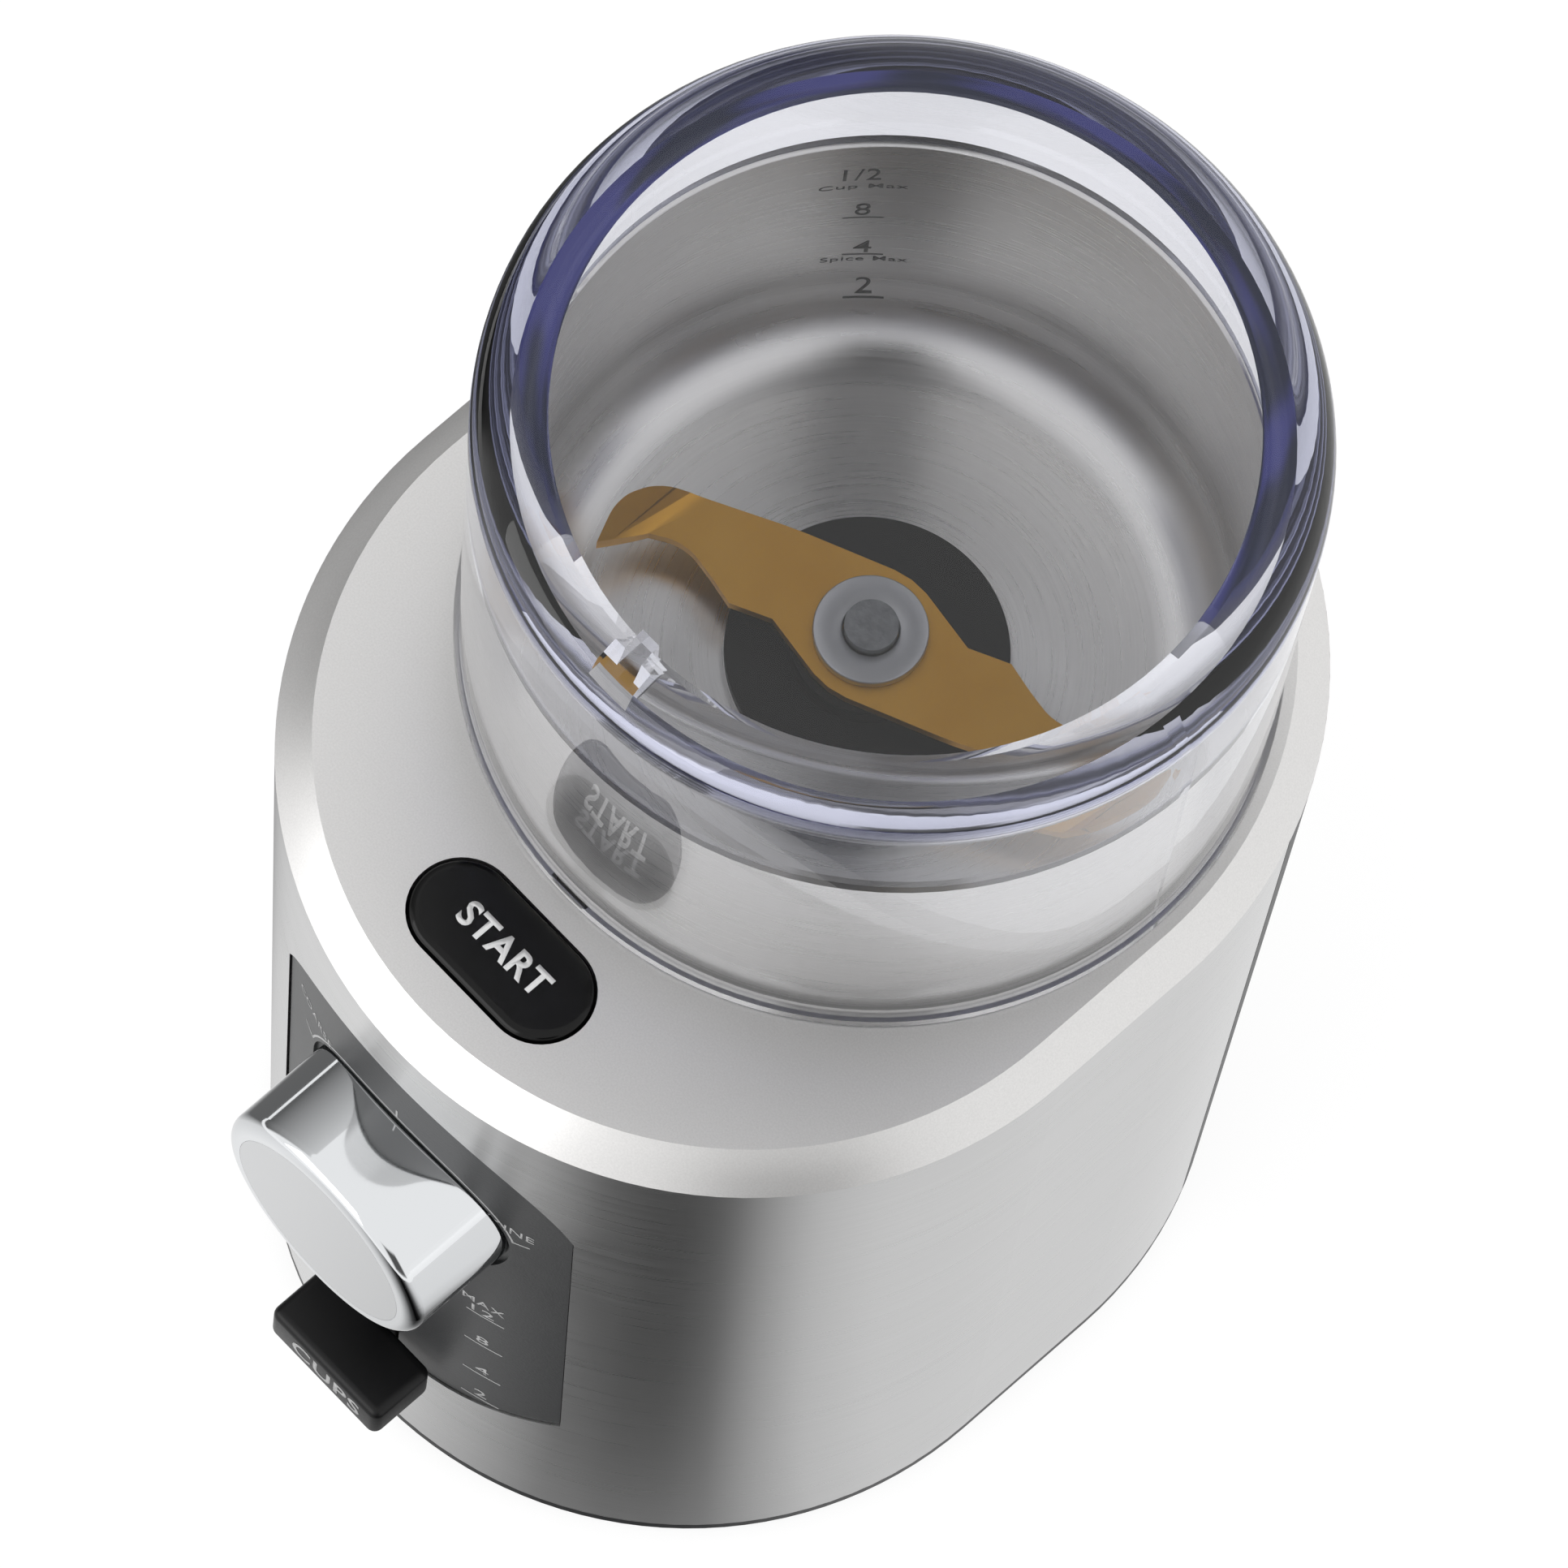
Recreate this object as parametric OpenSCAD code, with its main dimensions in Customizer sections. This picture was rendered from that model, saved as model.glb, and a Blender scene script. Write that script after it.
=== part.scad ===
// Electric spice and coffee grinder: a tapered body with a lift-out steel bowl,
// a two-arm blade, a clear lid, a grind knob, a cups slider and a START button.
// Millimetres, +Z up, the controls face -Y, the origin under the
// middle of the part's box.

/* [Body] */
// Half width of the body just under its top
body_r = 56; // [50:0.5:62]
// From the bowl's axis forward to the centre of the front curve
body_straight = 21; // [12:0.5:30]
// How much the half width narrows down to the base
body_taper = 3.8; // [0:0.1:5]
// Height of the flat top above the table
cover_z = 140; // [136:1:150]
// Height of the sloping band round the top's edge
band_h = 5; // [3:0.1:7]
// How far that band runs in from the edge
band_in = 4.3; // [3:0.1:6]
// Radius of the band's very slight curve
band_curve = 50; // [12:1:50]
// Sheet thickness of the steel wrap
wrap_t = 0.8; // [0.5:0.1:1.2]
// Where the wrap stops and the rear housing starts, behind the bowl's axis
rear_split = 21; // [10:0.5:30]
// Wall of the rear housing
rear_wall = 2; // [1.5:0.1:2.5]
// Slit between neighbouring shell pieces
shell_gap = 0.3; // [0.2:0.05:0.5]
// Wall of the inner frame
frame_wall = 2; // [1.6:0.1:3]

/* [Base] */
// How far the feet stand below the base plate
foot_show = 2; // [1:0.1:4]
// Radius of a foot
foot_r = 6; // [4:0.1:8]
// Depth of a foot's pocket in the base plate
foot_sunk = 1; // [0.5:0.1:1.4]
// Thickness of the base plate
base_t = 2.5; // [2:0.1:4]
// Height of the base plate's outer rim, seen under the wrap
base_rim_h = 1.5; // [1:0.1:2.4]
// Foot distance from the middle plane
foot_x = 32; // [25:0.5:36]
// Front feet, distance in front of the bowl's axis
foot_front = 48; // [40:0.5:52]
// Rear feet, distance behind the bowl's axis
foot_rear = 28; // [20:0.5:32]
// Base screw distance in from the body's side
base_screw_x = 12.4; // [10:0.1:15]
// Base screws, front pair in front of the bowl's axis
base_screw_front = 33; // [30:0.5:36]
// Base screws, rear pair behind the bowl's axis
base_screw_rear = 12; // [9:0.5:15]
// Radius of a screw's shank
screw_r = 1.5; // [1.2:0.05:2]
// Radius of a screw's head
screw_head_r = 2.8; // [2.4:0.1:3.4]
// Height of a screw's head
screw_head_h = 1.4; // [1:0.1:2]
// Length of a base screw under its head
screw_len = 12; // [8:0.5:16]

/* [Well and lid seat] */
// Radius of the well that the bowl sits in
well_r = 46.6; // [45:0.1:48]
// Depth of the well below the flat top
well_depth = 26; // [24:0.5:30]
// Wall of the well
well_wall = 2.1; // [1.6:0.1:2.6]
// Thickness of the top and of the well's floor
cover_t = 2.4; // [2:0.1:3]
// Hole for the drive coupling in the well's floor
drive_hole_r = 12; // [10:0.5:14]
// Height of the four keys on the well's floor
key_h = 3.2; // [2:0.1:5]
// Width of a key
key_w = 4.4; // [3:0.1:6]

/* [Bowl] */
// Inside radius of the bowl
bowl_r = 45; // [40:0.5:48]
// Sheet thickness of the bowl
bowl_t = 1; // [0.6:0.1:1.4]
// Height of the bowl's inside floor above the well's floor
bowl_floor_z = 19; // [16:0.5:22]
// Height of the bowl's rim above the flat top
bowl_rim_z = 44; // [30:1:60]
// Inside radius where the floor turns up into the wall
bowl_fillet = 10; // [5:0.5:14]
// Radius of the rolled rim
bead_r = 1; // [0.6:0.1:1.4]
// Radius of the black seal disc on the bowl's floor
seal_r = 17.3; // [14:0.1:20]
// Thickness of the seal disc
seal_t = 1.4; // [1:0.1:2]
// Radius of the seal's raised hub under the blade
seal_hub_r = 9.5; // [8:0.1:11]

/* [Blade] */
// Largest radius of the blade before its ends are bent up
blade_r = 36; // [30:0.5:40]
// Thickness of the blade
blade_t = 1.5; // [1:0.1:2]
// Underside of the blade above the bowl's floor
blade_lift = 5.3; // [4:0.1:8]
// Distance from the axis at which the ends bend up
bend_x = 27.5; // [25:0.1:30]
// How far the ends bend up, in degrees
bend_deg = 45; // [20:1:60]
// Radius of the blade's shaft
blade_shaft_r = 3.3; // [2.5:0.1:4]
// Radius of the washer on the blade
washer_r = 7.05; // [6:0.05:8]
// Thickness of the washer
washer_t = 1.5; // [1:0.1:2]
// How far the shaft's end shows above the washer
shaft_show = 1.4; // [0.5:0.1:2.5]

/* [Lid] */
// Outside radius of the lid at its top
lid_r = 51; // [48:0.5:54]
// Outside radius of the lid's wall just above its lip
lid_low_r = 49.6; // [49:0.1:51]
// Outside radius of the lip that stands on the top
lid_lip_r = 50.2; // [49.5:0.1:52]
// Height of the lip
lid_lip_h = 1.5; // [1:0.1:3]
// Height of the lid's flat window above the flat top
lid_h = 70.5; // [60:0.5:80]
// Radius of the lid's rounded top edge
lid_round = 7.5; // [5:0.1:10]
// Inside radius of the lid's lower wall
lid_in_r = 47.9; // [47:0.1:48.5]
// Inside radius of the thick upper wall over the bowl's rim
lid_neck_r = 45.4; // [44:0.1:46]
// Thickness of the lid's window
lid_top_t = 3; // [2:0.1:4]
// Bevel between the lid's ceiling and its neck, inside
lid_in_bevel = 3.5; // [2:0.1:4]
// Width of the moulded lug at the lid's front
lug_w = 6; // [4:0.5:12]
// How far the lug stands in from the thick wall
lug_in = 2; // [1.5:0.1:3]
// Height of the lug below the window's underside
lug_h = 6.5; // [5:0.5:12]
// Width of the nose on the lug's inner face
lug_nose_w = 2.8; // [2:0.1:4]
// How far the nose stands in from the lug
lug_nose_in = 2.6; // [1:0.1:3]
// Width of the tongue that reaches down to the lid switch
tongue_w = 5; // [4:0.5:10]
// Thickness of the tongue
tongue_t = 1.2; // [1:0.1:1.6]
// Length of the tongue below the flat top
tongue_len = 9; // [6:0.5:10]

/* [START button] */
// Radius of the button's hole at its ends
start_r = 6.9; // [5:0.1:8]
// Half the distance between the two end centres
start_half = 6.8; // [5:0.1:9]
// Distance of the button in front of the bowl's axis
start_y = 60.5; // [59:0.1:62]
// Slit round the button
start_gap = 0.35; // [0.3:0.05:0.5]
// How far the button stands above the flat top
start_proud = 0.9; // [0.3:0.1:2]
// Radius of the button's rounded edge
start_round = 1.2; // [0.5:0.1:2]
// Height of the button's cap
start_cap_h = 6; // [4:0.1:7]

/* [Control panel] */
// Half width of the panel
panel_half = 25; // [23:0.5:26]
// Top of the panel below the flat top
panel_top = 16.5; // [15:0.5:19]
// Bottom of the panel below the handle's lowest setting
panel_bottom = 6; // [4:0.5:9]
// Radius of the panel's arched top edge
panel_top_curve = 26.5; // [26:0.5:60]
// Radius of the panel's arched bottom edge
panel_bottom_curve = 43; // [35:1:60]
// Radius of the panel's corners
panel_corner = 9; // [4:0.5:10]
// How far the panel lies below the wrap's face
panel_sunk = 0.3; // [0:0.05:0.6]
// Thickness of the panel
panel_t = 1.7; // [1.4:0.1:1.8]

/* [Grind knob] */
// Radius of the knob
knob_r = 16.8; // [14:0.1:18]
// Centre of the knob below the flat top
knob_down = 47.7; // [45:0.1:50]
// Flat face of the knob, distance in front of the body
knob_face_y = 11; // [7:0.5:15]
// Floor of the knob's pocket, distance behind the body's front
pocket_y = 5; // [4.4:0.1:6]
// Radius of the knob's pocket
pocket_r = 17.6; // [17:0.1:18.5]
// Radius of the knob's rounded front edge
knob_round = 2; // [1:0.1:3]
// Radius of the satin disc in the knob's face
knob_disc_r = 14; // [12:0.1:15]
// Thickness of that disc
knob_disc_t = 0.9; // [0.6:0.1:1.4]
// Radius of the knob's shaft
knob_shaft_r = 3; // [2.5:0.1:3.5]

/* [Cups slider] */
// Half width of the slider's handle
lever_half = 9.7; // [8:0.1:11]
// Height of the handle
lever_h = 7; // [5:0.1:8]
// Front face of the handle, distance in front of the body
lever_face_y = 7.5; // [5:0.5:11]
// Back face of the handle, distance behind the body's front
lever_back_y = 1.5; // [0:0.1:2]
// Handle centre below the flat top at the lowest setting
lever_down = 107; // [105:0.1:108]
// Travel of the handle up to the highest setting
lever_travel = 35; // [30:0.5:36]
// Half width of the handle's neck
neck_half = 2; // [1.5:0.1:3]
// Half height of the neck
neck_half_h = 2.5; // [2:0.1:3]
// Rounding of the handle's edges
lever_round = 1.6; // [0.8:0.1:2.5]

/* [Motor] */
// Radius of the motor's shaft
shaft_r = 4; // [3:0.1:5]
// Lower end of the motor's shaft above the table
shaft_z0 = 20; // [15:0.5:21]
// Upper end of the motor's shaft above the well's floor
shaft_z1 = 2; // [-2:0.5:4]
// Underside of the stator's stack above the table
stack_z = 52; // [50:0.5:56]
// Height of the stack
stack_h = 28; // [20:0.5:30]
// Width of the stator
stator_w = 66; // [60:0.5:70]
// Depth of the stator
stator_d = 62; // [60:0.5:66]
// Rounding of the stator's corners
stator_corner = 8; // [4:0.5:12]
// Radius of the stator's bore
bore_r = 17.8; // [16:0.1:19]
// Air gap between rotor and stator
air_gap = 0.5; // [0.3:0.05:0.8]
// Height of the windings beyond the stack
winding_h = 6; // [4:0.5:7]
// Radius of the cooling fan
fan_r = 27; // [22:0.5:28]
// Radius of the commutator
commutator_r = 9; // [7:0.1:11]
// Height of the commutator
commutator_h = 11; // [8:0.5:13]
// Outer radius of a bearing
bearing_r = 11; // [9:0.5:12]
// Width of a bearing
bearing_w = 7; // [5:0.5:8]
// Radius of a drive coupling
coupling_r = 9; // [7:0.1:10]
// Height of the couplings' dogs
dog_h = 3.6; // [2:0.1:5]
// Width of a dog
dog_w = 4.2; // [3:0.1:5]

/* [Fits] */
// Radial clearance of a turning shaft in its bore
run_fit = 0.05; // [0.02:0.01:0.09]
// Radial clearance of a fixed piece in its hole
seat_fit = 0.03; // [0.01:0.01:0.05]
// Clearance between pieces that lift or slide apart
lift_gap = 0.3; // [0.3:0.05:0.5]

/* [Hidden] */
$fn = 96;
// Overrun of every cut past the face that it goes through
over = 1;
// Sideways overlap of joined blocks, so that they are one solid
bite = 0.4;

base_z = foot_show;
base_top = base_z + base_t;
rim_top = base_z + base_rim_h;
seam_z = cover_z - band_h;
cover_under = cover_z - cover_t;
knob_z = cover_z - knob_down;
lever_z = cover_z - lever_down;
lid_z0 = cover_z + lift_gap;
lid_z1 = cover_z + lid_h;
well_floor = cover_z - well_depth;
bowl_floor = well_floor + bowl_floor_z;
bowl_rim = cover_z + bowl_rim_z;
shaft_top = well_floor + shaft_z1;
front_y = body_straight;
// Front of the body, measured from the bowl's axis
face_y = body_straight + body_r;
knob_front = face_y + knob_face_y;
pocket_back = face_y - pocket_y;
lever_front = face_y + lever_face_y;
lever_back = face_y - lever_back_y;
panel_low = lever_down + panel_bottom;
screw_x = body_r - base_screw_x;
// The drive axis stands this far behind the middle of the part's length
axis_y = (knob_front - body_r) / 2;

function wall_r(z) = body_r - body_taper * (seam_z - z) / (seam_z - rim_top);
function front_at(x, z, inset) = -(front_y + sqrt(pow(wall_r(z) - inset, 2) - x * x));

// Sweeps an upright profile round the body's plan: two arcs joined by straight flanks
module pill() {
    translate([0, -front_y, 0])
        rotate([0, 0, 180])
            rotate_extrude(angle = 180)
                children();
    rotate_extrude(angle = 180)
        children();
    for (side = [0, 1])
        mirror([side, 0, 0])
            rotate([90, 0, 0])
                linear_extrude(height = front_y)
                    children();
}

// Upright wall between two insets from the body's outside
module strip(z0, z1, outer_in, inner_in) {
    polygon([
        [wall_r(z0) - outer_in, z0],
        [wall_r(z1) - outer_in, z1],
        [wall_r(z1) - inner_in, z1],
        [wall_r(z0) - inner_in, z0]
    ]);
}

// Filled section of the body between two heights
module slab(z0, z1, outer_in) {
    polygon([
        [0, z0],
        [wall_r(z0) - outer_in, z0],
        [wall_r(z1) - outer_in, z1],
        [0, z1]
    ]);
}

module tube(r_out, r_in, z0, z1) {
    translate([0, 0, z0])
        linear_extrude(height = z1 - z0)
            difference() {
                circle(r = r_out);
                circle(r = r_in);
            }
}

module rod(r, z0, z1) {
    translate([0, 0, z0])
        cylinder(r = r, h = z1 - z0);
}

// Cylinder along Y between two distances in front of the axis
module front_rod(r, y_far, y_near) {
    translate([0, -y_near, 0])
        rotate([90, 0, 0])
            cylinder(r = r, h = y_far - y_near);
}

module block(x0, x1, y0, y1, z0, z1) {
    translate([x0, y0, z0])
        cube([x1 - x0, y1 - y0, z1 - z0]);
}

module rounded_rect(w, h, r) {
    square([w - 2 * r, h], center = true);
    square([w, h - 2 * r], center = true);
    for (sx = [-1, 1], sy = [-1, 1])
        translate([sx * (w / 2 - r), sy * (h / 2 - r)])
            circle(r = r);
}

module capsule(r, half) {
    square([2 * half, 2 * r], center = true);
    for (s = [-1, 1])
        translate([s * half, 0])
            circle(r = r);
}

module at_feet() {
    for (s = [-1, 1]) {
        translate([s * foot_x, -foot_front, 0])
            children();
        translate([s * foot_x, foot_rear, 0])
            children();
    }
}

module at_base_screws() {
    for (s = [-1, 1]) {
        translate([s * screw_x, -base_screw_front, 0])
            children();
        translate([s * screw_x, base_screw_rear, 0])
            children();
    }
}

// Base: plate with vents, feet and screws
vent_w = 2.6;
vent_len = 34;
vent_step = 6;
vent_count = 7;
screw_seat_z = base_z + screw_head_h;

module base_plate() {
    color("#1c1c1e") translate([0, axis_y, 0])
        difference() {
            union() {
                pill() slab(base_z, rim_top, 0);
                pill() slab(base_z, base_top, wrap_t + shell_gap + rear_wall);
            }
            at_feet()
                rod(foot_r + seat_fit, base_z - over, base_z + foot_sunk);
            at_base_screws() {
                rod(screw_r + seat_fit, base_z - over, base_top + over);
                rod(screw_head_r + seat_fit, base_z - over, screw_seat_z);
            }
            for (i = [0 : vent_count - 1])
                translate([0, (i - (vent_count - 1) / 2) * vent_step - front_y / 2, base_z - over])
                    linear_extrude(height = base_t + 2 * over)
                        capsule(vent_w / 2, vent_len / 2);
        }
}

module rubber_feet() {
    color("#2a2a2a") translate([0, axis_y, 0])
        at_feet()
            rod(foot_r, 0, base_z + foot_sunk);
}

module base_screws() {
    color("#9a9a9a") translate([0, axis_y, 0])
        at_base_screws() {
            rod(screw_r, screw_seat_z, screw_seat_z + screw_len);
            difference() {
                rod(screw_head_r, base_z, screw_seat_z);
                rod(screw_r, base_z - over, base_z + screw_head_h / 2);
            }
        }
}

// Window in the wrap and shape of the control panel, drawn in X and Z
module panel_shape(grow) {
    h = panel_low - panel_top;
    intersection() {
        translate([0, cover_z - panel_top - h / 2])
            rounded_rect(2 * (panel_half + grow), h + 2 * grow, panel_corner + grow);
        union() {
            translate([0, cover_z - panel_top - panel_top_curve])
                circle(r = panel_top_curve + grow);
            translate([-panel_half - over, cover_z - panel_top - panel_top_curve - h])
                square([2 * (panel_half + over), h]);
        }
        union() {
            translate([0, cover_z - panel_low + panel_bottom_curve])
                circle(r = panel_bottom_curve + grow);
            translate([-panel_half - over, cover_z - panel_low + panel_bottom_curve])
                square([2 * (panel_half + over), h]);
        }
    }
}

module panel_prism(grow) {
    translate([0, -front_y, 0])
        rotate([90, 0, 0])
            linear_extrude(height = body_r + over)
                panel_shape(grow);
}

module steel_wrap() {
    color("#b9bbbd") translate([0, axis_y, 0])
        difference() {
            pill() strip(rim_top, seam_z, 0, wrap_t);
            block(-2 * body_r, 2 * body_r, rear_split, 2 * body_r, 0, 2 * cover_z);
            panel_prism(shell_gap);
        }
}

// Rear housing with air slots and the cord's inlet
slot_w = 2;
slot_count = 6;
slot_step = 5;
slot_half = 14;
slot_z = 62;
inlet_z = 16;
inlet_r = 5.6;

module rear_slots() {
    for (i = [0 : slot_count - 1])
        translate([0, 2 * body_r, slot_z + i * slot_step])
            rotate([90, 0, 0])
                linear_extrude(height = 2 * body_r - rear_split)
                    capsule(slot_w / 2, slot_half);
}

module rear_housing() {
    color("#202022") translate([0, axis_y, 0])
        difference() {
            pill() strip(rim_top, seam_z, 0, rear_wall);
            block(-2 * body_r, 2 * body_r, -2 * body_r, rear_split + shell_gap, 0, 2 * cover_z);
            rear_slots();
            translate([0, 2 * body_r, inlet_z])
                rotate([90, 0, 0])
                    cylinder(r = inlet_r, h = 2 * body_r);
        }
}

grommet_wall = 2.2;
grommet_out = 3;
grommet_flange = 1.9;
grommet_play = 0.9;

module cord_grommet() {
    back = wall_r(inlet_z);
    through = grommet_out + frame_out + frame_wall + grommet_play;
    color("#17171a") translate([0, axis_y, 0])
        translate([0, back + grommet_out, inlet_z])
            rotate([90, 0, 0])
                difference() {
                    union() {
                        cylinder(r = inlet_r - seat_fit, h = through + grommet_flange);
                        translate([0, 0, through])
                            cylinder(r = inlet_r + grommet_wall, h = grommet_flange);
                    }
                    translate([0, 0, -over])
                        cylinder(r = inlet_r - grommet_wall, h = through + grommet_flange + 2 * over);
                }
}

// Inner frame: a wall inside the shell, a deck that carries the motor, bosses and board rails
frame_out = rear_wall + shell_gap;
frame_in = frame_out + frame_wall;
deck_drop = 10;
deck_z = well_floor - deck_drop;
deck_t = 2.5;
deck_hole_r = 15.5;
deck_front = 54;
boss_r = 3.6;
boss_end = 4.6;
boss_top = screw_seat_z + screw_len + boss_end;
window_side = 2;
window_half = panel_half + window_side;
window_low = 11;
window_z0 = lever_z - window_low;
window_z1 = cover_z - panel_top + window_side;
rail_x0 = 20;
rail_in = 16;
rail_x1 = body_r - rail_in;
rail_w = 3;
board_in = 17;
board_y = face_y - board_in;
board_t = 1.6;
board_half = 23;
board_low = 112;
board_high = 32;
board_z0 = cover_z - board_low;
board_z1 = cover_z - board_high;
bush_x = 22;
bush_y = 16;
motor_screw_r = 2;

module at_bushes() {
    for (sx = [-1, 1], sy = [-1, 1])
        translate([sx * bush_x, sy * bush_y, 0])
            children();
}

module inner_frame() {
    color("#2e2f33") translate([0, axis_y, 0])
        difference() {
            union() {
                difference() {
                    pill() strip(base_top, seam_z, frame_out, frame_in);
                    block(-window_half, window_half, -2 * body_r, -front_y, window_z0, window_z1);
                }
                difference() {
                    pill() slab(deck_z, deck_z + deck_t, frame_in - bite);
                    block(-2 * body_r, 2 * body_r, -2 * body_r, -deck_front, 0, cover_z);
                    rod(deck_hole_r, 0, cover_z);
                    at_bushes()
                        rod(motor_screw_r + run_fit, 0, cover_z);
                }
                intersection() {
                    at_base_screws()
                        rod(boss_r, base_top, boss_top);
                    pill() slab(base_top, boss_top, frame_in - bite);
                }
                intersection() {
                    for (s = [0, 1])
                        mirror([s, 0, 0])
                            block(
                                rail_x0, rail_x1, board_t - board_y, rail_w + board_t - board_y,
                                board_z0, board_z1
                            );
                    pill() slab(window_z0, window_z1, frame_in - bite);
                }
            }
            at_base_screws()
                rod(screw_r + seat_fit, 0, screw_seat_z + screw_len + over);
            translate([0, 2 * body_r, inlet_z])
                rotate([90, 0, 0])
                    cylinder(r = inlet_r, h = 2 * body_r);
            rear_slots();
        }
}

// Top cover with its sloping band, the well, the button's guide and the switch posts
band_mid_x = body_r - band_in / 2;
band_mid_z = seam_z + band_h / 2;
band_chord = sqrt(band_in * band_in + band_h * band_h);
band_reach = sqrt(band_curve * band_curve - band_chord * band_chord / 4);
band_cx = band_mid_x - band_reach * band_h / band_chord;
band_cz = band_mid_z - band_reach * band_in / band_chord;
cover_rim = 2;
guide_wall = 1.3;
guide_deep = 9;
guide_z = cover_z - guide_deep;
start_board_down = 15;
start_board_z = cover_z - start_board_down;
start_board_t = 1.6;
start_board_half = 14;
start_board_back = 2.9;
start_board_front = 7.9;
start_board_y0 = start_y - start_board_back;
start_board_y1 = start_y + start_board_front;
post_x = 11.6;
post_r = 1.3;
tongue_y = lid_in_r;
slot_play = 0.5;
shelf_half = 8;
shelf_front = 7.3;
shelf_y = well_r + well_wall + shelf_front;
shelf_down = 18.5;
shelf_z = cover_z - shelf_down;
shelf_t = 2.2;
key_r0 = 37;

module cover_profile() {
    difference() {
        intersection() {
            translate([0, seam_z])
                square([body_r, band_h]);
            union() {
                translate([band_cx, band_cz])
                    circle(r = band_curve);
                translate([0, seam_z])
                    square([band_cx, band_h]);
            }
        }
        polygon([
            [-over, seam_z - over],
            [body_r - cover_rim, seam_z - over],
            [body_r - cover_rim, seam_z],
            [body_r - cover_rim - (band_h - cover_t) * band_in / band_h, cover_under],
            [-over, cover_under]
        ]);
    }
}

module keys(w, r0, r1, z0, z1) {
    for (a = [45 : 90 : 315])
        rotate([0, 0, a])
            block(r0, r1, -w / 2, w / 2, z0, z1);
}

module top_cover() {
    color("#c9cacc") translate([0, axis_y, 0])
        difference() {
            union() {
                pill() cover_profile();
                rod(well_r + well_wall, well_floor - cover_t, cover_z);
                translate([0, -start_y, guide_z])
                    linear_extrude(height = cover_z - guide_z - cover_t / 2)
                        capsule(start_r + guide_wall, start_half);
                for (s = [-1, 1])
                    translate([s * post_x, -start_y - start_r / 2, 0])
                        rod(post_r, start_board_z + start_board_t, guide_z + bite);
                block(-shelf_half, shelf_half, -shelf_y, -well_r - bite, shelf_z, shelf_z + shelf_t);
            }
            rod(well_r, well_floor, cover_z + over);
            rod(drive_hole_r, 0, cover_z);
            translate([0, -start_y, guide_z - over])
                linear_extrude(height = cover_z - guide_z + 2 * over)
                    capsule(start_r, start_half);
            block(
                -tongue_w / 2 - slot_play, tongue_w / 2 + slot_play,
                -tongue_y - tongue_t - slot_play, -tongue_y + slot_play / 2,
                shelf_z + shelf_t, cover_z + over
            );
        }
    color("#c9cacc") translate([0, axis_y, 0])
        keys(key_w, key_r0, well_r + bite, well_floor - bite, well_floor + key_h);
}

// Control panel: a curved plate with the knob's pocket, the slider's slot and board posts
pocket_floor = 1.8;
pocket_wall = 1.6;
slot_clear = 0.4;
panel_post_x = 20;
panel_post_r = 2.2;
panel_post_up = 13;
panel_post_down = 34;
panel_post_low = cover_z - panel_low + panel_post_up;
panel_post_high = cover_z - panel_post_down;
pot_bush_r = 4.4;

module panel_skin(outer_in, inner_in) {
    intersection() {
        pill() strip(rim_top, seam_z, outer_in, inner_in);
        panel_prism(0);
    }
}

module control_panel() {
    color("#3a3c3f") translate([0, axis_y, 0])
        difference() {
            union() {
                difference() {
                    panel_skin(panel_sunk, panel_sunk + panel_t);
                    translate([0, 0, knob_z])
                        front_rod(pocket_r + bite, body_straight + body_r, front_y);
                }
                difference() {
                    translate([0, 0, knob_z])
                        front_rod(pocket_r + pocket_wall, body_straight + body_r, pocket_back - pocket_floor);
                    translate([0, 0, knob_z])
                        front_rod(pocket_r, body_straight + body_r + over, pocket_back);
                    difference() {
                        block(-body_r, body_r, -2 * body_r, -front_y, 0, cover_z);
                        pill() slab(rim_top, seam_z, panel_sunk);
                    }
                }
                for (s = [-1, 1], z = [panel_post_low, panel_post_high])
                    translate([s * panel_post_x, 0, z])
                        front_rod(
                            panel_post_r, bite - front_at(panel_post_x, z, panel_sunk + panel_t), board_y
                        );
            }
            translate([0, 0, knob_z])
                front_rod(pot_bush_r + seat_fit, body_straight + body_r, front_y);
            block(
                -neck_half - slot_clear, neck_half + slot_clear,
                -body_straight - body_r, -front_y,
                lever_z - neck_half_h - slot_clear, lever_z + lever_travel + neck_half_h + slot_clear
            );
        }
}

// Boards, potentiometers and switches
pot_half = 8.5;
pot_drop = 10.5;
pot_bush_short = 0.1;
pot_bore_end = 1;
bush_y1 = pocket_back - pot_bush_short;
pot_bore_y = board_y + pot_bore_end;
track_half = 5;
track_t = 5.7;
track_below = 9;
track_above = 10;
track_y1 = board_y + track_t;
track_z0 = lever_z - track_below;
track_z1 = lever_z + lever_travel + track_above;
groove_half = 1.4;
groove_floor = 2;
groove_y = board_y + groove_floor;
groove_end = 3;

module control_board() {
    color("#1f5a35") translate([0, axis_y, 0])
        block(-board_half, board_half, -board_y, -(board_y - board_t), board_z0, board_z1);
}

module grind_potentiometer() {
    color("#4b5a52") translate([0, axis_y, 0])
        difference() {
            union() {
                block(
                    -pot_half, pot_half, pocket_floor - pocket_back, -board_y,
                    knob_z - pot_drop, knob_z + pot_half
                );
                translate([0, 0, knob_z])
                    front_rod(pot_bush_r, bush_y1, board_y);
            }
            translate([0, 0, knob_z])
                front_rod(knob_shaft_r + run_fit, body_straight + body_r, pot_bore_y);
        }
}

module cups_potentiometer() {
    color("#55585c") translate([0, axis_y, 0])
        difference() {
            block(-track_half, track_half, -track_y1, -board_y, track_z0 + groove_end, track_z1);
            block(
                -groove_half, groove_half, -track_y1 - over, -groove_y,
                track_z0 + 2 * groove_end, track_z1 - groove_end
            );
        }
}

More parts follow.
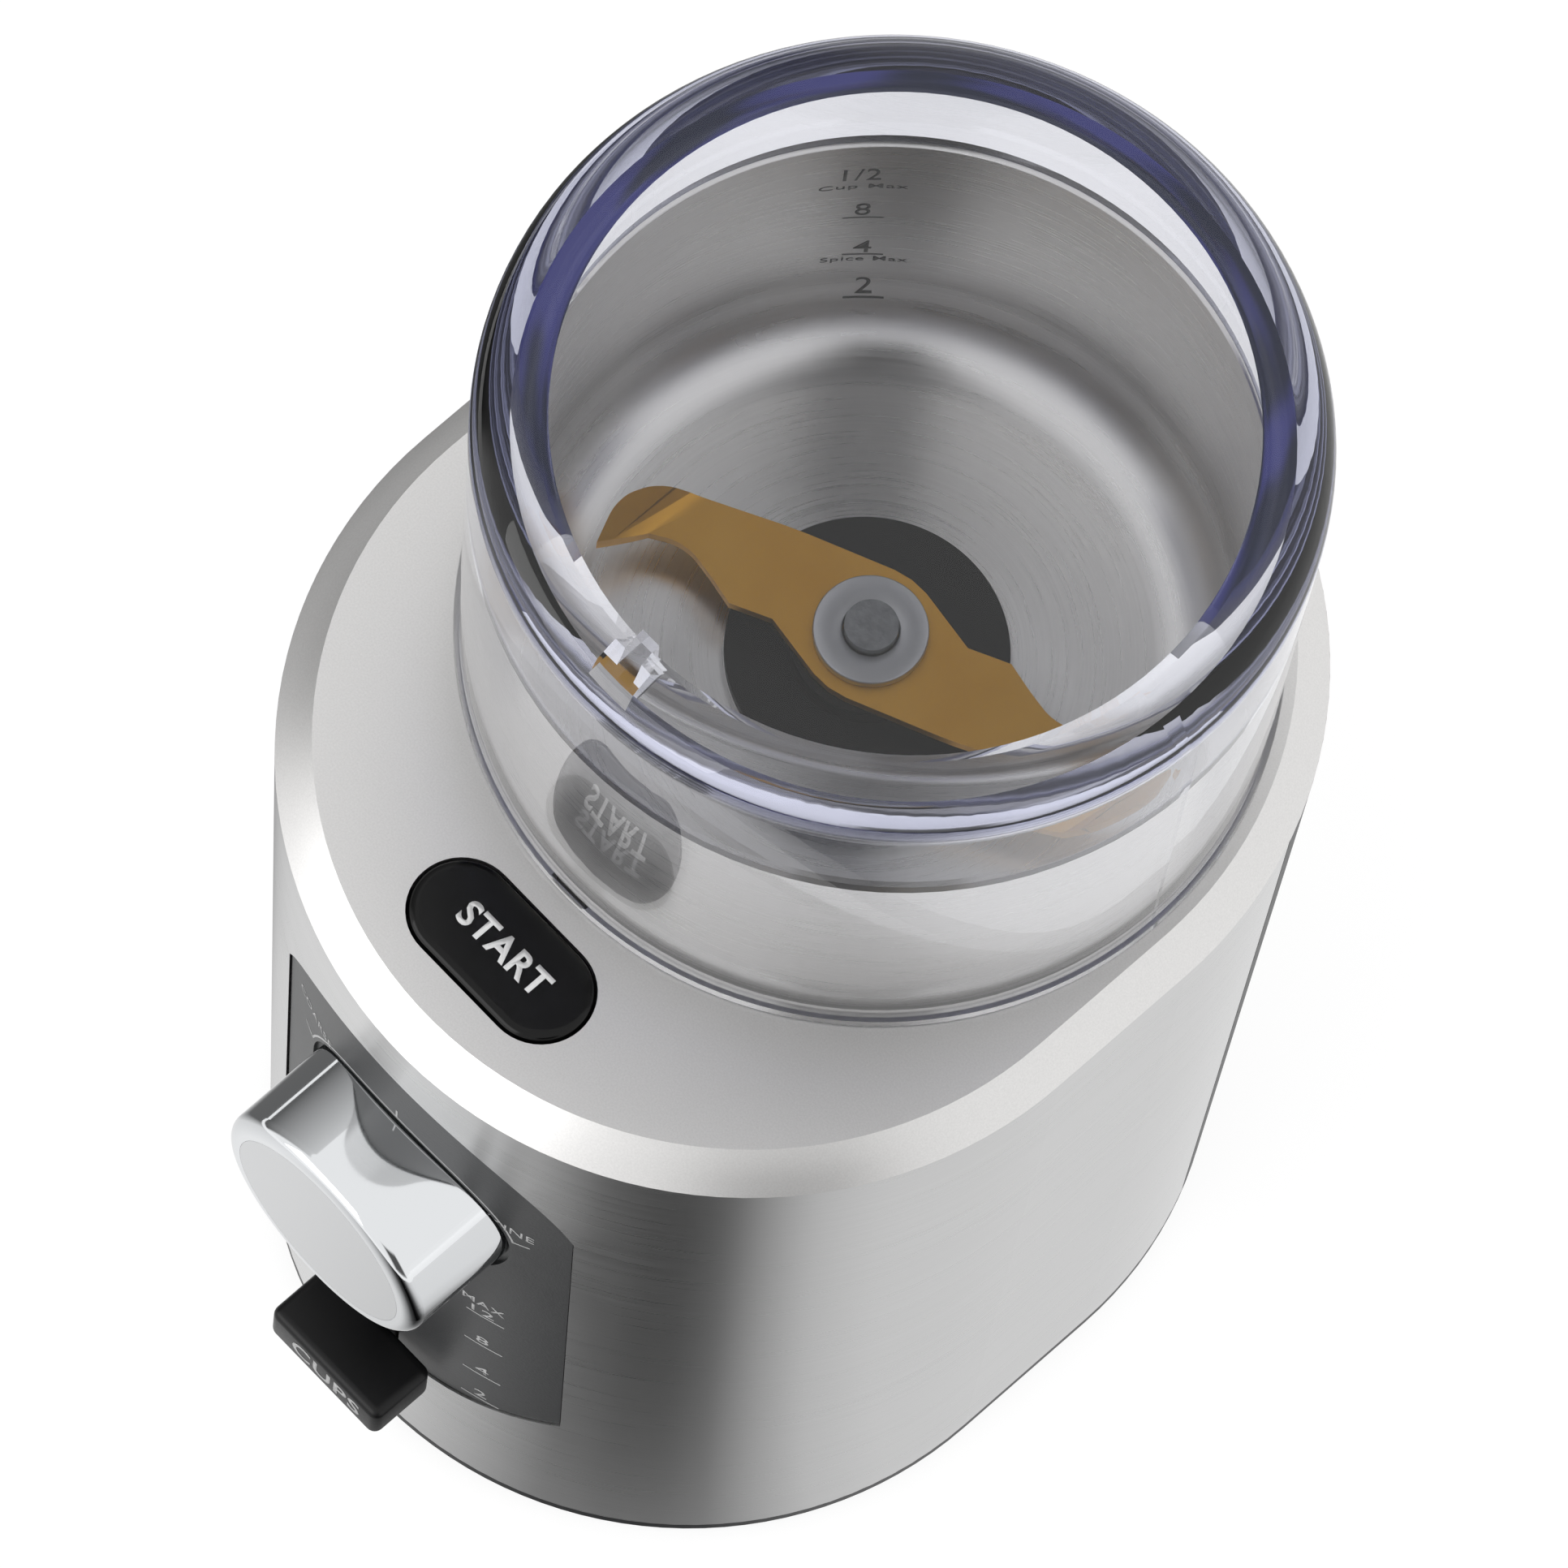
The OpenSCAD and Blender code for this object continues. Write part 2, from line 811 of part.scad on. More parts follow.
module start_board() {
    color("#1f5a35") translate([0, axis_y, 0])
        block(
            -start_board_half, start_board_half, -start_board_y1, -start_board_y0,
            start_board_z, start_board_z + start_board_t
        );
}

tact_half = 3;
tact_h = 3.6;
plunger_r = 1.7;
plunger_show = 1.4;
plunger_top = start_board_z + start_board_t + tact_h + plunger_show;
plunger_deep = 2.4;

module start_switch() {
    z0 = start_board_z + start_board_t;
    color("#2b2b2e") translate([0, axis_y, 0])
        translate([0, -start_y, 0])
            difference() {
                block(-tact_half, tact_half, -tact_half, tact_half - bite, z0, z0 + tact_h);
                rod(plunger_r + run_fit, z0 + tact_h - plunger_deep, z0 + tact_h + over);
            }
}

module switch_plunger() {
    color("#7a2020") translate([0, axis_y, 0])
        translate([0, -start_y, 0])
            rod(plunger_r, start_board_z + start_board_t + tact_h - plunger_deep / 4, plunger_top);
}

lid_switch_half = 6.4;
lid_switch_d = 6;
lid_switch_y0 = well_r + well_wall + lift_gap;
lid_switch_y1 = lid_switch_y0 + lid_switch_d;
lid_switch_h = 6.4;
actuator_half = 1.2;

module lid_switch() {
    z0 = shelf_z + shelf_t;
    top = cover_z - tongue_len - lift_gap;
    color("#2f3a44") translate([0, axis_y, 0]) {
        block(-lid_switch_half, lid_switch_half, -lid_switch_y1, -lid_switch_y0, z0, z0 + lid_switch_h);
        block(
            -actuator_half, actuator_half, -lid_switch_y0 - over, -tongue_y - tongue_t / 4,
            z0 + lid_switch_h - bite, top
        );
    }
}

// START button: a rounded cap on a stem
module start_button() {
    r = start_r - start_gap;
    top = cover_z + start_proud;
    low = top - start_cap_h;
    color("#111113") translate([0, axis_y, 0])
        translate([0, -start_y, 0]) {
            translate([0, 0, low])
                linear_extrude(height = start_cap_h - start_round)
                    capsule(r, start_half);
            translate([0, 0, top - start_round - bite])
                linear_extrude(height = start_round + bite)
                    capsule(r - start_round, start_half);
            for (s = [0, 1])
                rotate([0, 0, 180 * s]) {
                    translate([start_half, 0, top - start_round])
                        rotate([0, 0, -90])
                            rotate_extrude(angle = 180)
                                translate([r - start_round, 0])
                                    circle(r = start_round);
                    translate([-start_half, r - start_round, top - start_round])
                        rotate([0, 90, 0])
                            cylinder(r = start_round, h = 2 * start_half);
                }
            rod(plunger_r + 2 * bite, plunger_top, low + bite);
        }
}

// Grind knob
knob_back = pocket_back + lift_gap;
knob_bore_end = 4;
knob_bore_y = knob_front - knob_bore_end;
flat_share = 0.55;

module shaft_section(r) {
    intersection() {
        circle(r = r);
        translate([-r, -r])
            square([2 * r, (1 + flat_share) * r]);
    }
}

module knob_body() {
    len = knob_front - knob_back;
    color("#d4d6d8") translate([0, axis_y, 0])
        translate([0, -knob_back, knob_z])
            rotate([90, 0, 0])
                difference() {
                    union() {
                        cylinder(r = knob_r, h = len - knob_round);
                        cylinder(r = knob_r - knob_round, h = len);
                        translate([0, 0, len - knob_round])
                            rotate_extrude()
                                translate([knob_r - knob_round, 0])
                                    circle(r = knob_round);
                    }
                    translate([0, 0, len - knob_disc_t])
                        cylinder(r = knob_disc_r + seat_fit, h = knob_disc_t + over);
                    translate([0, 0, -over])
                        linear_extrude(height = knob_bore_y - knob_back + over)
                            shaft_section(knob_shaft_r + seat_fit);
                }
}

module knob_face() {
    color("#bfc1c3") translate([0, axis_y, 0])
        translate([0, -(knob_front - knob_disc_t), knob_z])
            rotate([90, 0, 0])
                cylinder(r = knob_disc_r, h = knob_disc_t);
}

module knob_shaft() {
    y0 = pot_bore_y + lift_gap;
    color("#a8aaad") translate([0, axis_y, 0])
        translate([0, 0, knob_z]) {
            front_rod(knob_shaft_r, knob_back, y0);
            translate([0, -knob_back, 0])
                rotate([90, 0, 0])
                    linear_extrude(height = knob_bore_y - knob_back)
                        shaft_section(knob_shaft_r);
        }
}

// Cups slider: handle and neck, and the carriage behind the panel
carriage_half = 6;
carriage_back = 11;
carriage_front = 6.4;
carriage_y0 = face_y - carriage_back;
carriage_y1 = face_y - carriage_front;
carriage_half_h = 4;
tab_len = 3.6;
tab_y = carriage_y0 - tab_len;
tab_half = 1;

module cups_lever() {
    color("#141416") translate([0, axis_y, 0])
        translate([0, 0, lever_z]) {
            translate([0, -lever_back, 0])
                rotate([90, 0, 0])
                    linear_extrude(height = lever_front - lever_back)
                        rounded_rect(2 * lever_half, lever_h, lever_round);
            block(-neck_half, neck_half, -lever_back - bite, -carriage_y1, -neck_half_h, neck_half_h);
        }
}

module slider_carriage() {
    color("#36383b") translate([0, axis_y, 0])
        translate([0, 0, lever_z]) {
            block(
                -carriage_half, carriage_half, -carriage_y1, -carriage_y0,
                -carriage_half_h, carriage_half_h
            );
            block(-tab_half, tab_half, -carriage_y0 - bite, -tab_y, -neck_half_h, neck_half_h);
        }
}

// Motor
stack_top = stack_z + stack_h;
pole_neck_half = 12;
shoe_t = 3;
cavity_x = 25;
cavity_y = 27.5;
shoe_half = 15.5;
coil_w = 5.2;
coil_y0 = 21.2;
coil_y1 = 27.2;
coil_play = 0.2;
rotor_r = bore_r - air_gap;
slot_total = 12;
slot_r0 = 11.5;
slot_wide = 2.6;
slot_mouth = 1;
slot_lip = 0.6;
winding_play = 0.1;
winding_r = 16.4;
winding_in = 5;
commutator_top = stack_z - winding_h;
leg_x0 = 28.5;
leg_half = 10;
bracket_x = 33;
bracket_y = 24;
low_bracket_y = 16;
bracket_t = 3;
top_bracket_drop = 8;
top_bracket_z = deck_z - top_bracket_drop;
low_bracket_z = 25;
bearing_boss = 3;
top_bearing_drop = 9;
top_bearing_z = deck_z - top_bearing_drop;
low_bearing_z = 21;
bearing_lip = 1;
bearing_lip_r = 9;

module stator_section() {
    difference() {
        rounded_rect(stator_w, stator_d, stator_corner);
        difference() {
            square([2 * cavity_x, 2 * cavity_y], center = true);
            square([2 * pole_neck_half, 2 * cavity_y + over], center = true);
            intersection() {
                circle(r = bore_r + shoe_t);
                square([2 * shoe_half, 2 * cavity_y], center = true);
            }
        }
        circle(r = bore_r);
        square([2 * cavity_x, bore_r], center = true);
    }
}

module motor_stator() {
    color("#70757a") translate([0, axis_y, 0])
        translate([0, 0, stack_z])
            linear_extrude(height = stack_h)
                stator_section();
}

module field_coils() {
    x_in = pole_neck_half + coil_play;
    color("#b0622c") translate([0, axis_y, 0])
        for (s = [0, 1])
            rotate([0, 0, 180 * s])
                translate([0, -coil_y0, stack_z + stack_h / 2])
                    rotate([90, 0, 0])
                        linear_extrude(height = coil_y1 - coil_y0)
                            difference() {
                                rounded_rect(2 * (x_in + coil_w), stack_h + 2 * winding_h, coil_w / 2);
                                square([2 * x_in, stack_h], center = true);
                            }
}

module bracket_plate(half_y, z0) {
    translate([0, 0, z0])
        linear_extrude(height = bracket_t)
            rounded_rect(2 * bracket_x, 2 * half_y, stator_corner);
}

module legs(z0, z1) {
    for (s = [0, 1])
        mirror([s, 0, 0])
            block(leg_x0, bracket_x, -leg_half, leg_half, z0, z1);
}

module motor_top_bracket() {
    boss_top_z = top_bearing_z + bearing_w + bearing_lip;
    color("#9ea3a8") translate([0, axis_y, 0])
        difference() {
            union() {
                bracket_plate(bracket_y, top_bracket_z);
                legs(stack_top, top_bracket_z + bite);
                rod(bearing_r + bearing_boss, top_bearing_z, boss_top_z);
            }
            rod(bearing_r + seat_fit, top_bearing_z - over, top_bearing_z + bearing_w);
            rod(bearing_lip_r, 0, cover_z);
            at_bushes()
                rod(motor_screw_r + seat_fit, 0, cover_z);
        }
}

module motor_bottom_bracket() {
    color("#9ea3a8") translate([0, axis_y, 0])
        difference() {
            union() {
                bracket_plate(low_bracket_y, low_bracket_z);
                legs(low_bracket_z + bite, stack_z);
                rod(bearing_r + bearing_boss, low_bearing_z - bearing_lip, low_bracket_z + bracket_t);
            }
            rod(bearing_r + seat_fit, low_bearing_z, low_bracket_z + bracket_t + over);
            rod(bearing_lip_r, 0, cover_z);
        }
}

module motor_bearings() {
    r_out = bearing_r - bearing_boss / 2;
    r_in = shaft_r + bearing_boss / 2;
    deep = bearing_lip / 2;
    color("#8d9094") translate([0, axis_y, 0])
        for (z = [top_bearing_z, low_bearing_z])
            difference() {
                tube(bearing_r, shaft_r + run_fit, z, z + bearing_w);
                tube(r_out, r_in, z - over, z + deep);
                tube(r_out, r_in, z + bearing_w - deep, z + bearing_w + over);
            }
}

brush_half = 3;
brush_z0 = 36;
brush_z1 = 41;
brush_len = 14;
brush_wall = 1.5;
brush_gap = 0.1;
brush_holder_x0 = 11;
brush_holder_x1 = 26;

module brush_holders() {
    color("#c29a4a") translate([0, axis_y, 0])
        for (s = [0, 1])
            rotate([0, 0, 180 * s])
                difference() {
                    block(
                        brush_holder_x0, brush_holder_x1,
                        -brush_half - brush_wall, brush_half + brush_wall,
                        low_bracket_z + bracket_t, brush_z1 + brush_wall
                    );
                    block(
                        brush_holder_x0 - over, brush_holder_x1 + over,
                        -brush_half - seat_fit, brush_half + seat_fit,
                        brush_z0, brush_z1 + seat_fit
                    );
                }
}

module carbon_brushes() {
    color("#1a1a1a") translate([0, axis_y, 0])
        for (s = [0, 1])
            rotate([0, 0, 180 * s])
                block(
                    commutator_r + brush_gap, commutator_r + brush_gap + brush_len,
                    -brush_half, brush_half, brush_z0, brush_z1
                );
}

bush_r = 6;

module motor_bushes() {
    color("#232323") translate([0, axis_y, 0])
        at_bushes()
            tube(bush_r, motor_screw_r + seat_fit, top_bracket_z + bracket_t, deck_z);
}

motor_head_r = 3.8;
motor_head_h = 2.2;

module motor_screws() {
    color("#a0a2a4") translate([0, axis_y, 0])
        at_bushes() {
            rod(motor_screw_r, top_bracket_z + bracket_t / 3, deck_z + deck_t + bite);
            rod(motor_head_r, deck_z + deck_t, deck_z + deck_t + motor_head_h);
        }
}

module motor_shaft() {
    color("#b4b6b8") translate([0, axis_y, 0]) {
        rod(shaft_r, shaft_z0, shaft_top);
    }
}

module rotor_section() {
    difference() {
        circle(r = rotor_r);
        circle(r = shaft_r + seat_fit);
        for (i = [0 : slot_total - 1])
            rotate([0, 0, i * 360 / slot_total]) {
                translate([slot_r0, -slot_wide / 2])
                    square([rotor_r - slot_lip - slot_r0, slot_wide]);
                translate([slot_r0, -slot_mouth / 2])
                    square([rotor_r, slot_mouth]);
            }
    }
}

module rotor_core() {
    color("#7a7f84") translate([0, axis_y, 0])
        translate([0, 0, stack_z])
            linear_extrude(height = stack_h)
                rotor_section();
}

module rotor_windings() {
    color("#a9582a") translate([0, axis_y, 0]) {
        tube(winding_r, winding_in, stack_top, stack_top + winding_h);
        tube(winding_r, winding_in, stack_z - winding_h, stack_z);
        for (i = [0 : slot_total - 1])
            rotate([0, 0, i * 360 / slot_total])
                block(
                    slot_r0 + winding_play, winding_r,
                    -slot_wide / 2 + winding_play, slot_wide / 2 - winding_play,
                    stack_z - bite, stack_top + bite
                );
    }
}

bar_count = 12;
bar_slit = 0.6;
bar_deep = 1.2;

module commutator() {
    color("#c07a3c") translate([0, axis_y, 0])
        difference() {
            tube(commutator_r, shaft_r + seat_fit, commutator_top - commutator_h, commutator_top);
            for (i = [0 : bar_count - 1])
                rotate([0, 0, i * 360 / bar_count])
                    block(
                        commutator_r - bar_deep, commutator_r + over,
                        -bar_slit / 2, bar_slit / 2,
                        commutator_top - commutator_h - over, commutator_top + over
                    );
        }
}

fan_drop = 16.5;
fan_z = deck_z - fan_drop;
fan_plate = 1.3;
fan_h = 5.5;
fan_hub_r = 8;
fan_blade_t = 1.2;
fan_blades = 9;

module cooling_fan() {
    color("#3c3f45") translate([0, axis_y, 0])
        difference() {
            union() {
                rod(fan_r, fan_z, fan_z + fan_plate);
                rod(fan_hub_r, fan_z, fan_z + fan_h);
                for (i = [0 : fan_blades - 1])
                    rotate([0, 0, i * 360 / fan_blades])
                        block(
                            fan_hub_r - over, fan_r - fan_blade_t / 2,
                            -fan_blade_t / 2, fan_blade_t / 2, fan_z + fan_plate / 2, fan_z + fan_h
                        );
            }
            rod(shaft_r + seat_fit, 0, cover_z);
        }
}

// Couplings: three dogs on each half
drive_drop = 6;
drive_rise = 5;
drive_z0 = well_floor - drive_drop;
drive_z1 = well_floor + drive_rise;
dog_gap = 0.4;
bowl_coupling_z0 = drive_z1 + dog_gap + dog_h;
bowl_coupling_h = 4.4;
dog_r0 = dog_w + bite;

module dogs(start_deg, z0, z1) {
    for (i = [0 : 2])
        rotate([0, 0, start_deg + 120 * i])
            block(dog_r0, coupling_r - bite, -dog_w / 2, dog_w / 2, z0, z1);
}

module drive_coupling() {
    color("#303338") translate([0, axis_y, 0])
        difference() {
            union() {
                rod(coupling_r, drive_z0, drive_z1);
                dogs(0, drive_z1 - bite, drive_z1 + dog_h);
            }
            rod(shaft_r + seat_fit, 0, shaft_top);
        }
}

module bowl_coupling() {
    z0 = bowl_coupling_z0;
    color("#303338") translate([0, axis_y, 0])
        difference() {
            union() {
                rod(coupling_r, z0, z0 + bowl_coupling_h);
                dogs(60, z0 - dog_h, z0 + bite);
            }
            rod(blade_shaft_r + seat_fit, z0 + bite, cover_z);
        }
}

// Bowl: steel cup, its black base, bush and seal
bowl_under = bowl_floor - bowl_t;
bush_wall_r = 7;
bush_top = bowl_floor + blade_lift - 2 * lift_gap;
bush_flange_r = 8.5;
bush_flange_t = 0.6;
base_disc_t = 3.5;
base_disc_r = 34;
skirt_r = 42.5;
skirt_wall = 2.2;
pocket_wall_r = 17.5;
coupling_room_r = 15;

module cup_section(r, z0, z1, fillet) {
    translate([0, z0])
        square([r - fillet, z1 - z0]);
    translate([0, z0 + fillet])
        square([r, z1 - z0 - fillet]);
    translate([r - fillet, z0 + fillet])
        circle(r = fillet);
}

module grinding_bowl() {
    bead_x = bowl_r + bowl_t - bead_r + 2 * bite;
    color("#c4c6c8") translate([0, axis_y, 0])
        rotate_extrude()
            difference() {
                union() {
                    intersection() {
                        cup_section(bowl_r + bowl_t, bowl_under, bowl_rim - bead_r, bowl_fillet + bowl_t);
                        square([2 * bowl_r, 2 * bowl_rim]);
                    }
                    translate([bead_x, bowl_rim - bead_r])
                        circle(r = bead_r);
                }
                intersection() {
                    cup_section(bowl_r, bowl_floor, bowl_rim + over, bowl_fillet);
                    square([2 * bowl_r, 2 * bowl_rim]);
                }
                translate([0, bowl_under - over])
                    square([bush_wall_r + seat_fit, bowl_t + 2 * over]);
            }
}

module bowl_base() {
    z0 = well_floor + lift_gap;
    disc_z = bowl_under - base_disc_t;
    color("#26272a") translate([0, axis_y, 0])
        difference() {
            union() {
                tube(base_disc_r, bush_wall_r + seat_fit, disc_z, bowl_under);
                tube(skirt_r, bush_wall_r + seat_fit, disc_z - skirt_wall, disc_z + bite);
                tube(skirt_r, skirt_r - skirt_wall, z0, disc_z);
                tube(pocket_wall_r, coupling_room_r, z0, disc_z);
            }
            rod(coupling_room_r, 0, disc_z);
            keys(key_w + 2 * lift_gap, key_r0 - over, well_r, 0, well_floor + key_h + lift_gap);
        }
}

module blade_bush() {
    disc_z = bowl_under - base_disc_t;
    color("#b08a4a") translate([0, axis_y, 0])
        difference() {
            union() {
                rod(bush_wall_r, disc_z, bush_top);
                rod(bush_flange_r, disc_z - bush_flange_t, disc_z);
            }
            rod(blade_shaft_r + run_fit, 0, 2 * cover_z);
        }
}

module floor_seal() {
    color("#1b1b1d") translate([0, axis_y, 0])
        difference() {
            union() {
                rod(seal_r, bowl_floor, bowl_floor + seal_t);
                rod(seal_hub_r, bowl_floor, bush_top);
            }
            rod(bush_wall_r + seat_fit, 0, 2 * cover_z);
        }
}

// Blade: two arms, each with its end bent up. The shares and angles go round half of its outline, laid flat
blade_z = bowl_floor + blade_lift;
arm_shares = [0.24, 0.33, 0.483, 0.592, 0.7, 0.817, 0.986, 1, 0.9, 0.78, 0.45, 0.245, 0.241];
arm_degs = [85, 39, 35, 25, 20, 22, 29, 19.5, 11.6, 7.6, -9, -63, -79];

// How far out a point of the flat outline lies once the end is bent
function bent_x(x) = x > bend_x ? bend_x + (x - bend_x) * cos(bend_deg) : x;

module blade_plan() {
    polygon([
        for (side = [1, -1])
            for (i = [0 : 12])
                [
                    side * bent_x(blade_r * arm_shares[i] * cos(arm_degs[i])),
                    side * blade_r * arm_shares[i] * sin(arm_degs[i])
                ]
    ]);
}

// The strip from the side, drawn past the ends of the arms
module blade_side() {
    reach = blade_r - bend_x;
    under_x = bend_x + blade_t * tan(bend_deg / 2);
    end_x = bend_x + reach * cos(bend_deg);
    end_z = blade_t + reach * sin(bend_deg);
    edge_x = end_x + blade_t * sin(bend_deg);
    edge_z = end_z - blade_t * cos(bend_deg);
    polygon([
        [-under_x, 0],
        [under_x, 0],
        [edge_x, edge_z],
        [end_x, end_z],
        [bend_x, blade_t],
        [-bend_x, blade_t],
        [-end_x, end_z],
        [-edge_x, edge_z]
    ]);
}

module blade() {
    color("#c98a1e") translate([0, axis_y, blade_z])
        difference() {
            intersection() {
                translate([0, 0, -over])
                    linear_extrude(height = blade_r)
                        blade_plan();
                rotate([90, 0, 0])
                    linear_extrude(height = 2 * blade_r, center = true)
                        blade_side();
            }
            rod(blade_shaft_r + seat_fit, -over, blade_t + over);
        }
}

module blade_washer() {
    color("#cfd0d2") translate([0, axis_y, 0])
        tube(washer_r, blade_shaft_r + seat_fit, blade_z + blade_t, blade_z + blade_t + washer_t);
}

module blade_shaft() {
    color("#a9abad") translate([0, axis_y, 0])
        rod(blade_shaft_r, bowl_coupling_z0 + bite, blade_z + blade_t + washer_t + shaft_show);
}

// Clear lid
module lid_outer() {
    c = lid_round;
    polygon([
        [0, lid_z0],
        [lid_low_r, lid_z0],
        [lid_low_r, lid_z0 + lid_lip_h],
        [lid_r, lid_z1 - c],
        [lid_r - c, lid_z1],
        [0, lid_z1]
    ]);
    translate([0, lid_z0])
        square([lid_lip_r, lid_lip_h]);
    translate([lid_r - c, lid_z1 - c])
        circle(r = c);
}

module lid_inner() {
    rest_z = bowl_rim + lift_gap;
    ceiling = lid_z1 - lid_top_t;
    polygon([
        [0, lid_z0 - over],
        [lid_in_r, lid_z0 - over],
        [lid_in_r, rest_z],
        [lid_neck_r, rest_z],
        [lid_neck_r, ceiling - lid_in_bevel],
        [lid_neck_r - lid_in_bevel, ceiling],
        [0, ceiling]
    ]);
}

module lid() {
    ceiling = lid_z1 - lid_top_t;
    color([0.8, 0.84, 0.92, 0.35]) translate([0, axis_y, 0]) {
        rotate_extrude()
            difference() {
                lid_outer();
                lid_inner();
            }
        block(
            -lug_w / 2, lug_w / 2, -lid_neck_r - bite, -lid_neck_r + lug_in,
            ceiling - lug_h, ceiling + bite
        );
        block(
            -lug_nose_w / 2, lug_nose_w / 2, -lid_neck_r, -lid_neck_r + lug_in + lug_nose_in,
            ceiling - lug_h, ceiling + bite
        );
        block(
            -tongue_w / 2, tongue_w / 2, -tongue_y - tongue_t, -tongue_y,
            cover_z - tongue_len, lid_z0 + lid_lip_h
        );
    }
}

base_plate();
rubber_feet();
base_screws();
steel_wrap();
rear_housing();
cord_grommet();
inner_frame();
top_cover();
control_panel();
control_board();
grind_potentiometer();
cups_potentiometer();
start_board();
start_switch();
lid_switch();
motor_stator();
field_coils();
motor_top_bracket();
motor_bottom_bracket();
motor_bearings();
brush_holders();
carbon_brushes();
motor_bushes();
motor_screws();
motor_shaft();
rotor_core();
rotor_windings();
commutator();
cooling_fan();
drive_coupling();
start_button();
switch_plunger();
knob_body();
knob_face();
knob_shaft();
cups_lever();
slider_carriage();
grinding_bowl();
bowl_base();
blade_bush();
floor_seal();
bowl_coupling();
blade_shaft();
blade();
blade_washer();
lid();
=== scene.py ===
import math
import bpy
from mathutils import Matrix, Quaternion, Vector


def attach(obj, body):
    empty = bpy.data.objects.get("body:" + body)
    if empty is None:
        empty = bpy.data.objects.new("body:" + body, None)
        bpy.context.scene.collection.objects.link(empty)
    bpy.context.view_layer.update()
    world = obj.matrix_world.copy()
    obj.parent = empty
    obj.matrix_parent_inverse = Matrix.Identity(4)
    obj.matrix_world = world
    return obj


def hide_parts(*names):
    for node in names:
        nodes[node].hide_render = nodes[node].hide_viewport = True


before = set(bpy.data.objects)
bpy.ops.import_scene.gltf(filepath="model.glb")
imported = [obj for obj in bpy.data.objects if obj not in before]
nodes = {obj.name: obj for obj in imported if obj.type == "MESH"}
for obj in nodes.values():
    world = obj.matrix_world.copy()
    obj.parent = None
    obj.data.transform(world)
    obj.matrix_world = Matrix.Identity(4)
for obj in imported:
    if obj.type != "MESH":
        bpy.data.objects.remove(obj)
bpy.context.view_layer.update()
bpy.ops.object.select_all(action="DESELECT")

# Camera: a long lens, high above the front right corner and rolled a little, as the product was shot.
# Its place and lens come from fitting the outlines of the body, the bowl and the lid.
camera_at = Vector((0.53075, -0.66736, 2.30135))
camera_aim = Vector((0.00700, -0.00473, 0.140))
camera_roll = 0.15939164
lens = bpy.data.cameras.new("product_camera")
lens.lens = 444.27
lens.sensor_width = 36
lens.clip_start = 0.1
lens.clip_end = 100
camera = bpy.data.objects.new("product_camera", lens)
bpy.context.scene.collection.objects.link(camera)
camera.location = camera_at
camera.rotation_mode = "QUATERNION"
camera_turn = (camera_aim - camera_at).to_track_quat("-Z", "Y")
camera.rotation_quaternion = camera_turn @ Quaternion((0, 0, 1), camera_roll)
bpy.context.scene.camera = camera
bpy.context.scene.view_settings.view_transform = "Standard"


# Studio: a white sweep lit evenly all round, with softboxes at the front left and at the right, and dark
# cards and felt that only reflections see, as a photographer sets them to draw the edges of bright metal.
def linear(code):
    """An sRGB hex colour as a linear one."""
    parts = [int(code[i:i + 2], 16) / 255 for i in (1, 3, 5)]
    return [p / 12.92 if p <= 0.04045 else ((p + 0.055) / 1.055) ** 2.4 for p in parts] + [1]


def new_finish(name):
    finish = bpy.data.materials.new(name)
    finish.use_nodes = True
    finish.node_tree.nodes.clear()
    return finish


def add_node(finish, kind, settings=None, inputs=None):
    """Adds a shader node. An input is a value or another node's output."""
    tree = finish.node_tree
    node = tree.nodes.new(kind)
    for name, value in (settings or {}).items():
        setattr(node, name, value)
    for name, value in (inputs or {}).items():
        if isinstance(value, bpy.types.NodeSocket):
            tree.links.new(value, node.inputs[name])
        else:
            node.inputs[name].default_value = value
    return node


def seen_sharply(finish):
    """One for what is seen straight, mirrored or through the clear lid, and zero for scattered light."""
    rays = add_node(finish, "ShaderNodeLightPath").outputs
    seen = add_node(finish, "ShaderNodeMath", {"operation": "MAXIMUM"}, {
        0: rays["Is Camera Ray"], 1: rays["Is Glossy Ray"]})
    return add_node(finish, "ShaderNodeMath", {"operation": "MAXIMUM"}, {
        0: seen.outputs[0], 1: rays["Is Transmission Ray"]}).outputs[0]


world = bpy.data.worlds.new("studio")
bpy.context.scene.world = world
world.use_nodes = True
world.node_tree.nodes.clear()
level = add_node(world, "ShaderNodeMapRange", {}, {
    "Value": seen_sharply(world), "To Min": 0.72, "To Max": 1.0})
sky = add_node(world, "ShaderNodeBackground", {}, {"Color": linear("#ffffff"), "Strength": level.outputs[0]})
add_node(world, "ShaderNodeOutputWorld", {}, {"Surface": sky.outputs[0]})

# The sweep, the felt and the cloth lie a fraction of a millimetre apart, so that none shows through another
sweep_z = -0.0002
felt_z = 0.0001
cloth_z = 0.0002
bpy.ops.mesh.primitive_plane_add(size=60, location=(0, 0, sweep_z))
floor = bpy.context.object
floor.name = "studio_floor"
sweep = new_finish("white paper sweep")
paper = add_node(sweep, "ShaderNodeBsdfDiffuse", {}, {"Color": [0.75, 0.75, 0.75, 1]})
shade = add_node(sweep, "ShaderNodeBsdfDiffuse", {}, {"Color": [0.22, 0.22, 0.22, 1]})
glow = add_node(sweep, "ShaderNodeEmission", {}, {"Color": [1, 1, 1, 1], "Strength": 0.86})
lit = add_node(sweep, "ShaderNodeAddShader", {}, {0: shade.outputs[0], 1: glow.outputs[0]})
ground = add_node(sweep, "ShaderNodeMixShader", {}, {
    0: seen_sharply(sweep), 1: paper.outputs[0], 2: lit.outputs[0]})
add_node(sweep, "ShaderNodeOutputMaterial", {}, {"Surface": ground.outputs[0]})
floor.data.materials.append(sweep)

